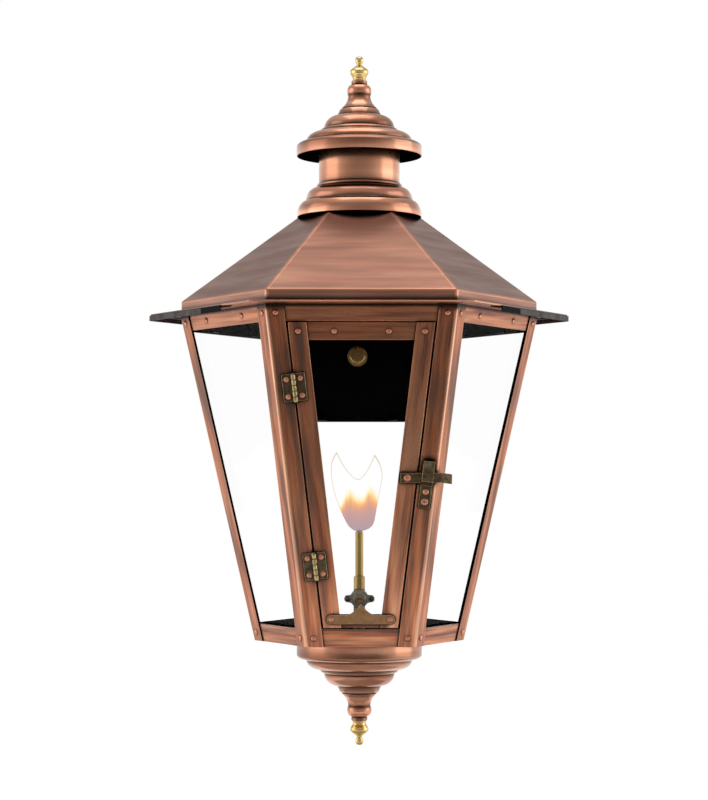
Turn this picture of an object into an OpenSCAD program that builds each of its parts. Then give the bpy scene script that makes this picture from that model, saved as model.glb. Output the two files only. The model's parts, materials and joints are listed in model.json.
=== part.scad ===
// Six-sided copper gas lantern for a wall, with a glazed frame that widens upwards,
// a hinged door with a drop latch, a burner on a plug valve, and a vented chimney.
// Millimetres. +Z is up, the wall is the plane Y = 0 and the lantern hangs on its -Y side.
// The origin lies on the wall at the height of the hanging stud.

/* [Frame] */
// Radius out to the corners at the foot of the frame
foot_r = 105; // [100:1:112]
// Radius out to the corners at the head of the frame
head_r = 179; // [174:1:184]
// Height of the frame between its foot and the deck
frame_h = 324; // [310:1:350]
// Thickness of the copper sheet of posts and rails
sheet = 1.2; // [1:0.1:1.5]
// Width of each leg of a folded corner post
leg_w = 17; // [15:0.5:19]
// Height of the hoop that joins the posts at the top
hoop_h = 16; // [14:0.5:19]
// Height of the turned-up edge of the floor pan
pan_h = 17; // [15:0.5:19]
// Width of the hoop's level flange below the deck
flange_w = 12; // [8:1:16]

/* [Glass] */
// Thickness of the glass
glass_t = 3; // [2:0.5:4]
// Lap of a pane over the rail above or below it
glass_lap = 4; // [3:0.5:5]
// Distance of a pane's side edge from the frame's corner
pane_edge = 4.5; // [4:0.5:7]
// Distance of the pane clips from the middle of a side
clip_x = 37; // [25:1:42]
// Width of a pane clip
clip_w = 10; // [6:1:14]
// Thickness of a pane clip
clip_t = 0.8; // [0.6:0.1:1]
// Reach of a clip over its pane
clip_reach = 3.8; // [3:0.1:4]

/* [Door] */
// Height of the door's lower edge above the frame's foot
door_foot = 18.7; // [18:0.1:21]
// Height of the door's upper edge below the frame's head
door_head = 17; // [16.6:0.1:20]
// Gap between the door and the posts
door_gap = 2; // [1.6:0.1:3]
// Thickness of the door's sheet
door_sheet = 1; // [0.8:0.05:1.1]
// Width of a door stile
stile_w = 17; // [15:0.5:19]
// Height of the door's top rail
door_top_h = 16.6; // [15:0.1:19]
// Height of the door's bottom rail
door_bottom_h = 13.3; // [12:0.1:15]
// Distance of the top rail's clips from the door's middle
door_clip_x = 25.5; // [18:0.5:32]
// Height of the middle of the badge above the frame's foot
badge_z = 27.1; // [26:0.1:29]
// Height of the badge's bar
badge_h = 9.1; // [8:0.1:10.5]
// Rise of the badge's crest above its bar
badge_crest = 10.6; // [6:0.1:12]
// Half of the crest's width
crest_half_w = 15; // [10:1:18]
// Thickness of the badge
badge_t = 1.2; // [0.8:0.1:2]

/* [Hinges] */
// Height of the lower hinge above the frame's foot
low_hinge_z = 78.4; // [60:0.1:110]
// Height of the upper hinge above the frame's foot
high_hinge_z = 247; // [200:0.1:260]
// Length of a hinge
hinge_h = 26.5; // [22:0.5:30]
// Width of one leaf from the pin to its edge
leaf_w = 11; // [10:0.5:12]
// Thickness of a leaf
leaf_t = 1; // [0.8:0.1:1.2]
// Outer radius of the knuckles
knuckle_r = 2.2; // [2:0.1:2.6]
// Radius of the hinge pin
pin_r = 1; // [0.9:0.05:1.2]
// Distance of the leaf rivets from the pin
leaf_rivet_x = 6.4; // [6:0.1:7]
// Half of the distance between the rivets along a leaf
leaf_rivet_y = 8.2; // [6:0.1:9]

/* [Latch] */
// Height of the latch above the frame's foot
latch_z = 162.6; // [140:0.1:185]
// Height of the latch arm
arm_h = 9.2; // [8:0.1:10]
// Thickness of the latch arm
arm_t = 1.5; // [1.2:0.1:1.8]
// Reach of the arm from its pivot to the bend of the finger tab
arm_reach = 32.5; // [30:0.5:36]
// Length of the arm's tail behind the pivot
arm_tail = 6.7; // [5:0.1:7.5]
// Projected length of the finger tab
tab_len = 9.3; // [6:0.1:12]
// Angle of the finger tab out of the arm's plane
tab_angle = 36; // [20:1:50]
// Radius of the pivot's head
pivot_head_r = 3.5; // [3:0.1:4]
// Radius of the pivot's shank
pivot_r = 1.9; // [1.6:0.1:2.2]
// Width of the keeper's strap
keeper_w = 11; // [9:0.5:12]
// Thickness of the keeper's strap
keeper_t = 1; // [0.8:0.1:1.2]
// Length of the keeper below its hook
keeper_foot = 24; // [21:0.5:28]

/* [Rivets] */
// Radius of a rivet's head
rivet_head_r = 2.7; // [2.4:0.1:2.9]
// Height of a rivet's head
rivet_head_h = 1.4; // [1:0.1:1.8]
// Radius of a rivet's shank
rivet_r = 1.4; // [1.2:0.1:1.5]

/* [Roof] */
// Distance of the eaves' corners inside the corners of the frame's head
eave_in = 1; // [0:0.5:4]
// Height of the upright skirt below the roof's slopes
skirt_h = 12.5; // [10:0.5:16]
// Rise of a roof ridge for each millimetre inwards
ridge_rise = 0.7233; // [0.66:0.01:0.78]
// Radius out to the corners of the opening at the roof's top
roof_hole_r = 52; // [50:1:56]
// Thickness of the roof's sheet
roof_t = 1; // [0.8:0.1:1.4]
// Overhang of the deck's corners beyond the eaves
deck_over = 30.5; // [22:0.5:31]
// Thickness of the deck
deck_t = 1.5; // [1:0.1:2]
// Distance of the deck's opening inside the eaves, from corner to corner
deck_ledge = 28; // [24:1:36]
// Height of the wind guard below the deck
guard_h = 5.3; // [4:0.1:6]
// Thickness of the wind guard
guard_t = 1; // [0.8:0.1:1.2]
// Width of the wind guard's level flange
guard_flange = 10; // [6:0.5:14]
// Distance behind the deck's front edge where the guard's grey stretch ends
guard_back = 81.9; // [76:0.1:110]
// Length of the guard's black end pieces, from front to back
guard_tip = 34.7; // [20:0.1:46]

/* [Chimney and base] */
// Height of a finial
finial_h = 24.9; // [22:0.1:28]
// Radius of a finial's bulb
finial_r = 9.4; // [8.4:0.1:10.4]
// Height of a bell-shaped neck
neck_h = 28.5; // [26:0.1:31]
// Radius of a neck's wide end
neck_r = 17.5; // [16:0.1:18.5]
// Radius of the rim of the spun cap and the spun base
rim_r = 62.6; // [61:0.1:66]
// Radius where the steps of the spun shell end below the rim
shoulder_r = 53.5; // [52:0.1:55]
// Radius of the spun shell's middle step
waist_r = 36; // [34:0.1:37]
// Radius of the spun shell's plinth at its narrow end
plinth_r = 21.5; // [20:0.1:23]
// Height of the cap's rim band
cap_band = 9.1; // [7:0.1:11]
// Height of the base's rim band
base_band = 14.1; // [12:0.1:16]
// Thickness of spun copper
spun_t = 1; // [0.8:0.1:1.2]
// Radius of the chimney tube
tube_r = 40.4; // [38:0.1:42]
// Height of the tube that shows between the collar and the cap's rim
tube_show = 28; // [24:0.5:34]
// Radius of the chimney collar's foot
collar_r = 62.3; // [60:0.1:64]
// Height of the chimney collar
collar_h = 33; // [30:0.5:36]
// Radius of the rods that hold the cap and the base
rod_r = 3; // [2.5:0.1:3.2]

/* [Burner] */
// Height of the valve's middle above the frame's foot
valve_z = 41.8; // [39:0.1:46]
// Radius of the valve's housing
valve_r = 9; // [8.5:0.1:10]
// Radius of the valve's plug
plug_r = 4; // [3.5:0.1:4.5]
// Radius of the valve's neck
valve_neck_r = 5.75; // [5.4:0.05:6.5]
// Distance of the cover's screws from the valve's middle
ear_x = 11.7; // [11:0.1:13]
// Radius of the burner tube
burner_r = 4; // [3.6:0.1:4.4]
// Length of the burner tube that shows above its coupling
burner_show = 44; // [35:1:60]
// Height of the coupling
coupling_h = 12.7; // [11:0.1:16]
// Radius of the coupling
coupling_r = 5.6; // [5.2:0.1:6.4]
// Radius of the gas tube
gas_r = 4; // [3.5:0.1:4.2]
// Distance of the gas tube's outlet behind the axis
gas_y = 78; // [74:0.5:80]
// Height of the gas tube above the frame's foot
gas_z = 21; // [20:0.5:24]
// Bend radius of the gas tube
gas_bend = 12; // [10:0.5:16]
// Length of the gas tube below the floor
gas_drop = 18; // [14:0.5:22]
// Depth of the widened socket at the gas tube's lower end
gas_socket = 9; // [7:0.5:11]

/* [Wall fitting] */
// Distance of the wall behind the lantern's axis
wall_y = 183; // [182.8:0.1:190]
// Depth of the hanging stud below the frame's head
stud_drop = 33.6; // [28:0.1:54]
// Radius of the hanging stud
stud_r = 4; // [3:0.5:5]
// Height of the black panel between its lower edge and the frame's head
panel_h = 103; // [99:1:124]
// Width of the wall box
box_w = 96; // [80:1:104]
// Distance of the wall box's lower edge below the frame's head
box_drop = 89; // [84:1:94]
// Distance of the wall box's upper edge below the frame's head
box_head = 6.5; // [6:0.5:12]
// Thickness of the wall bracket's steel
bracket_t = 3; // [2:0.5:4]
// Width of the bracket's plate on the wall
bracket_w = 74; // [70:1:76]
// Width of the bracket's tongue that carries the stud
tongue_w = 28; // [20:1:32]
// Distance between the wall screws across
screw_dx = 54; // [50:1:56]
// Distance between the wall screws up the wall
screw_dz = 52; // [40:1:54]
// Radius of the wall screw holes
screw_r = 2.4; // [2:0.1:2.8]
// Radius of the brass cap nut
nut_r = 10.85; // [9:0.05:12]
// Height of the brass cap nut
nut_h = 9; // [8:0.5:12]

/* [Hidden] */
$fn = 64;

// Clearances: a turning fit, a shank in its hole, and parts laid side by side
fit = 0.05;
hole_fit = 0.1;
seat_gap = 0.3;
// A cutter reaches this far past what it cuts
past = 1;

// The six sides lean outwards. A distance up the slope follows from a height
foot_a = foot_r * cos(30);
head_a = head_r * cos(30);
lean = atan((head_a - foot_a) / frame_h);
function up(z) = z / cos(lean);
slope = up(frame_h);
edge_slope = (head_r - foot_r) / 2 / slope;
tilt = atan(edge_slope);
// Angle between the outward directions of two neighbouring sides
turn = acos(cos(lean) * cos(lean) * cos(60) + sin(lean) * sin(lean));
function half_face(y) = foot_r / 2 + y * edge_slope;
function layer_edge(depth) = depth * tan(turn / 2);
function side_y(z) = foot_a + z * tan(lean);

// Heights of the parts that stand on each other, from the lower finial's tip
steps_h = 37.5;
foot_z = finial_h + neck_h + steps_h + base_band;
head_z = foot_z + frame_h;
stud_z = frame_h - stud_drop;
deck_top = head_z + deck_t;
eave_z = deck_top + skirt_h;
eave_r = head_r - eave_in;
deck_r = eave_r + deck_over;
deck_hole_r = eave_r - deck_ledge;
guard_front = deck_r * cos(30) - guard_back;
guard_end = guard_front + guard_tip;
panel_foot = frame_h - panel_h;
box_foot = frame_h - box_drop;
eave_a = eave_r * cos(30);
roof_pitch = atan(ridge_rise / cos(30));
collar_in = collar_r - spun_t;
collar_z = eave_z + (eave_r - collar_in) * ridge_rise + fit;
collar_top = collar_z + collar_h;
rim_z = collar_top + tube_show;
cap_top = rim_z + cap_band + steps_h;
neck_top = cap_top + neck_h;
shell_top_t = 1.5;

// The door in the front side, measured up the slope
door_y0 = up(door_foot);
door_y1 = up(frame_h - door_head);
function half_door(y) = half_face(y) - leg_w - door_gap;
door_rail_edge = 5;
door_glass_edge = 8.3;
door_glass_y0 = door_y0 + door_bottom_h - glass_lap * 0.4;
door_glass_y1 = door_y1 - door_top_h + glass_lap;
door_rivet_y = door_y1 - door_top_h / 2;
stop_in = 5;
stop_lap = 3;
tail_r = 1.9;
tail_h = 0.5;
arm_lift = 0.3;
shank_play = 0.1;
knuckle_count = 5;
knuckle_gap = 0.3;
panel_rivets = [panel_foot + 22, stud_z];
panel_clip_z = panel_foot + hoop_h / 2;
bolt_depth = 8;
gas_bore = 1.2;
wide = 2 * deck_r;

copper = "#9a5b43";
rivet_copper = "#d08a6c";
brass = "#d6ad4e";
antique = "#7d6f4e";
gunmetal = "#4e4b4c";
steel = "#8d9196";
glass_tint = [0.85, 0.93, 0.95, 0.35];

// Puts the lantern's own frame, axis upright and tip at zero, onto the wall
module hung() {
    translate([0, -wall_y, -foot_z - stud_z]) children();
}

// One side of the frame: x across it, y up its slope, z straight out of it.
// Side 0 faces front and the others follow anticlockwise, seen from above
module on_side(side) {
    rotate([0, 0, 60 * side]) translate([0, -foot_a, foot_z]) rotate([90 + lean, 0, 0]) children();
}

// A flat sheet in a side's plane, with its front face at the given depth
module side_sheet(side, depth, thick, outline) {
    on_side(side) translate([0, 0, -depth - thick]) linear_extrude(thick) polygon(outline);
}

// Outline of a band across a side, a set distance in from the corner lines
function band(y0, y1, edge) = [
    [-half_face(y0) + edge, y0], [half_face(y0) - edge, y0],
    [half_face(y1) - edge, y1], [-half_face(y1) + edge, y1]];

// Outline of a strip along one corner line, between two distances in from it
function strip(hand, y0, y1, near, far) = [
    [hand * (half_face(y0) - near), y0], [hand * (half_face(y0) - far), y0],
    [hand * (half_face(y1) - far), y1], [hand * (half_face(y1) - near), y1]];

// Keeps what lies between the frame's foot and head
module frame_height() {
    intersection() {
        union() children();
        translate([-deck_r, -deck_r, foot_z]) cube([wide, wide, frame_h]);
    }
}

// A rivet along z: a domed head on z = 0, a shank and a flat tail
module rivet(grip, head = rivet_head_r, rise = rivet_head_h) {
    dome = [for (a = [0:18:90]) [head * cos(a), rise * sin(a)]];
    color(rivet_copper) rotate_extrude() polygon(concat(dome, [[0, -grip - tail_h],
        [tail_r, -grip - tail_h], [tail_r, -grip], [rivet_r, -grip], [rivet_r, 0]]));
}

// The hole for a rivet, through all that it grips
module rivet_hole() {
    translate([0, 0, -4 * sheet - past]) cylinder(h = 5 * sheet + 3 * past, r = rivet_r + hole_fit / 2);
}

// Where the rivets of posts and rails are, on one corner line of a side
module leg_spots(side, hand, heights) {
    for (z = heights) {
        on_side(side) translate([hand * (half_face(up(z)) - leg_w / 2), up(z), 0]) children();
    }
}

rail_rivets = [pan_h / 2, frame_h - hoop_h / 2];
glazed = [1, 2, 4, 5];

// Where the rivets of the pane clips are
module clip_spots(side, z) {
    for (x = [-clip_x, clip_x]) on_side(side) translate([x, up(z), -sheet]) children();
}

// A hinge's own frame: x to the door, y along the pin, z outwards
module at_hinge(z) {
    y = up(z);
    on_side(0) translate([-half_door(y) - door_gap / 2, y, 0]) rotate([0, 0, tilt]) children();
}

module leaf_spots(z, hand) {
    for (y = [-leaf_rivet_y, leaf_rivet_y]) {
        at_hinge(z) translate([hand * leaf_rivet_x, y, leaf_t]) children();
    }
}

// The latch's own frame, on the middle of the right stile
module at_latch() {
    y = up(latch_z);
    on_side(0) translate([half_door(y) - stile_w / 2, y, 0]) children();
}

// The keeper's own frame, on the middle of the right post's front leg
module at_keeper() {
    y = up(latch_z);
    on_side(0) translate([half_face(y) - leg_w / 2, y, 0]) rotate([0, 0, -tilt]) children();
}

keeper_hook = arm_h / 2 + keeper_w / 2 * tan(tilt) + hole_fit;
keeper_spots = [-keeper_hook - 8.4, -keeper_hook - 18.2];

module badge_spots() {
    y = up(badge_z);
    for (hand = [-1, 1]) {
        on_side(0) translate([hand * (half_door(y) - stile_w / 2), y, badge_t]) children();
    }
}

// Quarter curves in a turned profile: out along a level first, or upright first
function ovolo(r0, z0, r1, z1, n = 8) = [for (i = [0:n])
    [r0 + (r1 - r0) * sin(90 * i / n), z0 + (z1 - z0) * (1 - cos(90 * i / n))]];
function quarter(r0, z0, r1, z1, n = 8) = [for (i = [0:n])
    [r0 + (r1 - r0) * (1 - cos(90 * i / n)), z0 + (z1 - z0) * sin(90 * i / n)]];

// A finial on z = 0: a disc, a squashed bulb, a thin waist and a ball
module finial() {
    ball_r = finial_r * 0.45;
    ball_z = finial_h - ball_r;
    disc_r = finial_r * 0.75;
    disc_h = finial_h * 0.14;
    bulb_z = finial_h * 0.36;
    bulb_h = finial_h * 0.3;
    bulb = [for (a = [-38:12:70]) [finial_r * cos(a), bulb_z + bulb_h * sin(a)]];
    ball = [for (a = [-44:17:92]) [max(0, ball_r * cos(a)), ball_z + ball_r * sin(a)]];
    difference() {
        rotate_extrude() polygon(concat([[0, 0], [disc_r, 0], [disc_r, disc_h]], bulb, ball,
            [[0, finial_h]]));
        translate([0, 0, -past]) cylinder(h = bolt_depth + past, r = rod_r + fit);
    }
}

// A bell-shaped neck, narrow end at z = 0 and wide end at z = neck_h
module neck() {
    collar = neck_r * 0.46;
    bead = neck_r * 0.695;
    waist = neck_r * 0.64;
    bead_z = neck_h * 0.36;
    flare_z = neck_h * 0.5;
    flare = [for (i = [1:8]) [waist + (neck_r - waist) * pow(i / 8, 2.2),
        flare_z + (neck_h - 1 - flare_z) * i / 8]];
    difference() {
        rotate_extrude() polygon(concat([[0, 0], [collar, 0], [collar, neck_h * 0.12]],
            ovolo(collar, neck_h * 0.14, bead, bead_z, 6),
            [for (a = [15:25:90]) [waist + (bead - waist) * cos(a), bead_z + (flare_z - bead_z) * sin(a)]],
            flare, [[neck_r, neck_h], [0, neck_h]]));
        translate([0, 0, -past]) cylinder(h = neck_h + 2 * past, r = rod_r + fit);
    }
}

// A spun shell, narrow end at z = 0, with a plinth, three rounded steps and an upright band
module spun_shell(band_h) {
    end_z = steps_h + band_h;
    outer = concat([[rod_r + fit, 0], [plinth_r - 2, 0], [plinth_r + 0.6, 6.4]],
        ovolo(plinth_r + 0.6, 6.4, waist_r - 0.8, 19),
        ovolo(waist_r - 0.8, 19, waist_r + 3.4, 23, 4),
        ovolo(waist_r + 4.2, 23, shoulder_r - 0.6, 32),
        ovolo(shoulder_r, 32.8, rim_r, steps_h), [[rim_r, end_z]]);
    inner = [[rim_r - spun_t, end_z], [rim_r - spun_t, steps_h + 1], [shoulder_r - 1.5, 34],
        [shoulder_r - 7, 27.6], [waist_r + 2.6, 24.4], [waist_r - 2, 20.6], [waist_r - 6, 13],
        [plinth_r - 1.2, 8.4], [plinth_r - 4, shell_top_t], [rod_r + fit, shell_top_t]];
    rotate_extrude() polygon(concat(outer, inner));
}

module top_finial() {
    color(brass) hung() translate([0, 0, neck_top]) finial();
}

module top_neck() {
    color(copper) hung() translate([0, 0, neck_top]) mirror([0, 0, 1]) neck();
}

module chimney_cap() {
    color(copper) hung() translate([0, 0, cap_top]) mirror([0, 0, 1]) spun_shell(cap_band);
}

// The tube ends inside the cap, so that its smoke turns down and out below the rim
tube_in = tube_r - spun_t;
tube_top = rim_z + cap_band;
tube_foot = collar_z + 6;
bridge_z = rim_z - 4;
bridge_t = 1.5;
bridge_drop = 8;
bridge_w = 12;

// A bolt: its head below the bridge, its shank up into the finial
module cap_rod() {
    head_h = 4;
    color(steel) hung() {
        translate([0, 0, bridge_z - bridge_t]) cylinder(h = neck_top + bolt_depth - seat_gap - bridge_z
            + bridge_t, r = rod_r);
        translate([0, 0, bridge_z - bridge_t - head_h]) cylinder(h = head_h, r = 2 * rod_r, $fn = 6);
    }
}

// A flat bar across the tube with turned-down ends that follow the tube's wall
module cap_bridge() {
    color(steel) hung() difference() {
        intersection() {
            translate([0, 0, bridge_z - bridge_drop]) cylinder(h = bridge_drop, r = tube_in - fit);
            translate([-tube_r, -bridge_w / 2, bridge_z - bridge_drop])
                cube([2 * tube_r, bridge_w, bridge_drop]);
        }
        translate([0, 0, bridge_z - bridge_drop - past])
            cylinder(h = bridge_drop + past - bridge_t, r = tube_in - fit - bridge_t);
        translate([0, 0, bridge_z - bridge_drop]) cylinder(h = bridge_drop + past, r = rod_r + fit);
    }
}

module chimney_tube() {
    color(copper) hung() translate([0, 0, tube_foot]) difference() {
        cylinder(h = tube_top - tube_foot, r = tube_r);
        translate([0, 0, -past]) cylinder(h = tube_top - tube_foot + 2 * past, r = tube_in);
    }
}

// The collar sits on the six ridges and leaves open crescents over the slopes
module chimney_collar() {
    bead_h = 4;
    step_r = (collar_r + tube_r) / 2 + 2.6;
    step_z = collar_h * 0.47;
    neck_in = tube_r + fit;
    top_z = collar_h - bead_h;
    outer = concat(quarter(collar_r, 0, step_r, step_z), [[step_r - 0.4, step_z + 0.6]],
        quarter(step_r - 0.4, step_z + 0.7, tube_r + 2.6, top_z),
        [for (a = [-70:28:70]) [tube_r + 2 + 2.4 * cos(a), top_z + bead_h / 2 * (1 + sin(a))]],
        [[tube_r + 1.6, collar_h]]);
    inner = [[neck_in, collar_h], [neck_in, top_z - 2], [tube_r + 7, step_z + 7.5],
        [step_r - 2, step_z], [step_r - 1, step_z - 2], [collar_r - 2.6, 6.5], [collar_in, 0]];
    color(copper) hung() translate([0, 0, collar_z]) rotate_extrude() polygon(concat(outer, inner));
}

// Keeps what lies below one roof outline on each of its three pairs of sides
module six_sided(outline) {
    intersection_for(side = [0:2]) rotate([0, 0, 60 * side]) rotate([90, 0, 90])
        translate([0, 0, -deck_r]) linear_extrude(wide) polygon(outline);
}

// Six slopes above an upright skirt that ends in a level flange on the deck
module roof() {
    top_a = roof_hole_r * cos(30);
    top_z = eave_z + (eave_r - roof_hole_r) * ridge_rise;
    in_a = eave_a - roof_t;
    in_z = eave_z + roof_t * tan(roof_pitch) - roof_t / cos(roof_pitch);
    far_a = top_a - roof_t / sin(roof_pitch) - past;
    far_z = in_z + (in_a - far_a) * tan(roof_pitch);
    low_z = deck_top + roof_t;
    color(copper) hung() difference() {
        six_sided([[-eave_a, deck_top], [eave_a, deck_top], [eave_a, eave_z], [top_a, top_z],
            [-top_a, top_z], [-eave_a, eave_z]]);
        six_sided([[-in_a, low_z], [in_a, low_z], [in_a, in_z], [far_a, far_z], [-far_a, far_z],
            [-in_a, in_z]]);
        translate([0, 0, deck_top - past])
            cylinder(h = roof_t + 2 * past, r = eave_r - flange_w, $fn = 6);
    }
}

// A six-sided level ring with corners on the X axis
module hex_ring(outer, inner, thick) {
    linear_extrude(thick) difference() {
        circle(r = outer, $fn = 6);
        circle(r = inner, $fn = 6);
    }
}

module deck_plate() {
    color(copper) hung() translate([0, 0, head_z]) hex_ring(deck_r, deck_hole_r, deck_t);
}

// The guard hangs round the deck's edge, from below it: a level flange and an upright strip
module guard_section() {
    outer = deck_r + hole_fit + guard_t;
    translate([0, 0, head_z - guard_h]) hex_ring(outer, outer - guard_t, guard_h);
    translate([0, 0, head_z - guard_t]) hex_ring(outer - guard_t / 2, deck_r - guard_flange, guard_t);
}

module wind_guard() {
    color("#8c8f8e") hung() difference() {
        guard_section();
        translate([-wide / 2, -wide - guard_front, 0]) cube([wide, wide, head_z + past]);
    }
}

// Two black end pieces carry the guard on towards the front
module guard_ends() {
    color("#151516") hung() intersection() {
        guard_section();
        translate([-wide / 2, -guard_end, 0]) cube([wide, guard_end - guard_front, head_z + past]);
    }
}

// A post is one strip folded along the corner, with a leg in each of two sides
module post(corner) {
    next = corner + 1;
    y0 = -past;
    y1 = slope + past;
    color(copper) hung() difference() {
        frame_height() {
            side_sheet(corner, 0, sheet, strip(1, y0, y1, 0, leg_w));
            side_sheet(next, 0, sheet, strip(-1, y0, y1, 0, leg_w));
        }
        leg_spots(corner, 1, rail_rivets) rivet_hole();
        leg_spots(next, -1, rail_rivets) rivet_hole();
        children();
    }
}

module keeper_holes() {
    for (y = keeper_spots) at_keeper() translate([0, y, keeper_t]) rivet_hole();
}

module hinge_holes(hand) {
    for (z = [low_hinge_z, high_hinge_z]) leaf_spots(z, hand) rivet_hole();
}

module post_front_right() { post(0) keeper_holes(); }
module post_right() { post(1); }
module post_back_right() { post(2) leg_spots(3, -1, panel_rivets) rivet_hole(); }
module post_back_left() { post(3) leg_spots(3, 1, panel_rivets) rivet_hole(); }
module post_left() { post(4); }
module post_front_left() { post(5) hinge_holes(-1); }

// A band behind the posts' legs, folded along the six corners
module inner_band(y0, y1) {
    for (side = [0:5]) side_sheet(side, sheet, sheet, band(y0, y1, layer_edge(sheet)));
}

// The hoop behind the posts' heads, with a level flange under the deck
module top_hoop() {
    y0 = up(frame_h - hoop_h);
    flange_a = head_a - 1.5 * sheet / cos(lean);
    color(copper) hung() difference() {
        union() {
            frame_height() inner_band(y0, slope + past);
            translate([0, 0, head_z - sheet]) hex_ring(flange_a / cos(30),
                (flange_a - flange_w) / cos(30), sheet);
        }
        for (side = [0:5], hand = [-1, 1]) leg_spots(side, hand, [rail_rivets[1]]) rivet_hole();
        for (side = glazed) clip_spots(side, rail_rivets[1]) rivet_hole();
    }
}

// A ledge and lip inside the pan's edge that carry the foot of a pane
module pane_ledge(side) {
    ledge_y = up(pan_h) - glass_lap - hole_fit;
    back = 2 * sheet + glass_t + seat_gap;
    for (x = [-clip_x * 0.7, clip_x * 0.7]) on_side(side) translate([x, 0, 0]) {
        translate([-clip_w / 2, ledge_y - sheet, -back - sheet])
            cube([clip_w, sheet, back + sheet - 1.5 * sheet]);
        translate([-clip_w / 2, ledge_y - sheet, -back - sheet]) cube([clip_w, clip_reach, sheet]);
    }
}

// A six-sided floor with turned-up edges behind the posts' feet
module floor_pan() {
    floor_a = foot_a - 1.5 * sheet / cos(lean);
    color(copper) hung() difference() {
        union() {
            frame_height() inner_band(-past, up(pan_h));
            translate([0, 0, foot_z]) cylinder(h = sheet, r = floor_a / cos(30), $fn = 6);
            for (side = [1:5]) pane_ledge(side);
        }
        for (side = [0:5], hand = [-1, 1]) leg_spots(side, hand, [rail_rivets[0]]) rivet_hole();
        translate([0, 0, foot_z - past]) cylinder(h = sheet + 2 * past, r = rod_r + fit);
        translate([0, gas_y, foot_z - past]) cylinder(h = sheet + 2 * past, r = gas_r + hole_fit);
    }
}

// A pane behind the rails, from the pan's ledges up to the given height
module pane(side, top) {
    color(glass_tint) hung() side_sheet(side, 2 * sheet, glass_t,
        band(up(pan_h) - glass_lap, top, pane_edge));
}

pane_top = up(frame_h - hoop_h) + glass_lap;
module pane_front_right() { pane(1, pane_top); }
module pane_back_right() { pane(2, pane_top); }
module pane_back() { pane(3, up(panel_foot) + glass_lap); }
module pane_back_left() { pane(4, pane_top); }
module pane_front_left() { pane(5, pane_top); }

// A stepped clip, with its rivet at the origin and the sheet's back face at z = -back.
// It holds an edge of glass that lies a distance below the rivet
module clip(back, drop, width) {
    seat = -drop + hole_fit * 2;
    deep = back + glass_t + seat_gap;
    profile = [[-seat, -back], [-seat, -back - clip_t], [seat + clip_t, -back - clip_t],
        [seat + clip_t, -deep - clip_t], [seat - clip_reach, -deep - clip_t],
        [seat - clip_reach, -deep], [seat, -deep], [seat, -back]];
    difference() {
        rotate([90, 0, 90]) translate([0, 0, -width / 2]) linear_extrude(width) polygon(profile);
        rivet_hole();
    }
}

clip_drop = hoop_h / 2 - glass_lap;

module pane_clips() {
    color(copper) hung() {
        for (side = glazed) clip_spots(side, rail_rivets[1]) clip(sheet, clip_drop, clip_w);
        clip_spots(3, panel_clip_z) clip(sheet, clip_drop, clip_w);
    }
}

module frame_rivets() {
    two = 2 * sheet;
    hung() {
        for (side = [0:5], hand = [-1, 1]) leg_spots(side, hand, rail_rivets) rivet(two);
        for (side = glazed) clip_spots(side, rail_rivets[1]) rivet(sheet + clip_t);
        for (hand = [-1, 1]) leg_spots(3, hand, panel_rivets) rivet(two);
        clip_spots(3, panel_clip_z) rivet(sheet + clip_t);
        for (z = [low_hinge_z, high_hinge_z]) leaf_spots(z, -1) rivet(leaf_t + two);
    }
}

// Strips behind the front posts that the closed door lies against
module door_stops() {
    y0 = up(pan_h) + seat_gap;
    y1 = up(frame_h - hoop_h) - seat_gap;
    color(copper) hung() difference() {
        for (hand = [-1, 1]) side_sheet(0, sheet, sheet,
            strip(hand, y0, y1, stop_in, leg_w + door_gap + stop_lap));
        hinge_holes(-1);
        keeper_holes();
    }
}

module stud_axis() {
    on_side(3) translate([0, up(stud_z), 0]) children();
}

// The black panel in the upper part of the back side
module back_panel() {
    color("#1c1b1d") hung() difference() {
        side_sheet(3, sheet, sheet, band(up(panel_foot), up(frame_h - hoop_h) - hole_fit,
            layer_edge(sheet) + 2 * sheet));
        for (hand = [-1, 1]) leg_spots(3, hand, panel_rivets) rivet_hole();
        clip_spots(3, panel_clip_z) rivet_hole();
        stud_axis() translate([0, 0, -2 * sheet - past]) cylinder(h = 2 * sheet, r = stud_r + hole_fit);
    }
}

// A wedge between two heights: from the back side's plane, shifted, to a plane at the given Y
module back_wedge(shift, far, z0, z1, width) {
    off = shift / cos(lean);
    rotate([90, 0, 90]) translate([0, 0, -width / 2]) linear_extrude(width) polygon([
        [side_y(z0) + off, foot_z + z0], [far, foot_z + z0],
        [far, foot_z + z1], [side_y(z1) + off, foot_z + z1]]);
}

// A sheet box that fills the wedge between the leaning back and the upright wall
module wall_box() {
    z1 = frame_h - box_head;
    color(copper) hung() difference() {
        back_wedge(fit - sheet, wall_y, box_foot, z1, box_w);
        back_wedge(0, wall_y + past, box_foot + sheet, z1 - sheet, box_w - 2 * sheet);
        stud_axis() translate([0, 0, -sheet - past]) cylinder(h = 3 * sheet, r = stud_r + hole_fit);
    }
}

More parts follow.
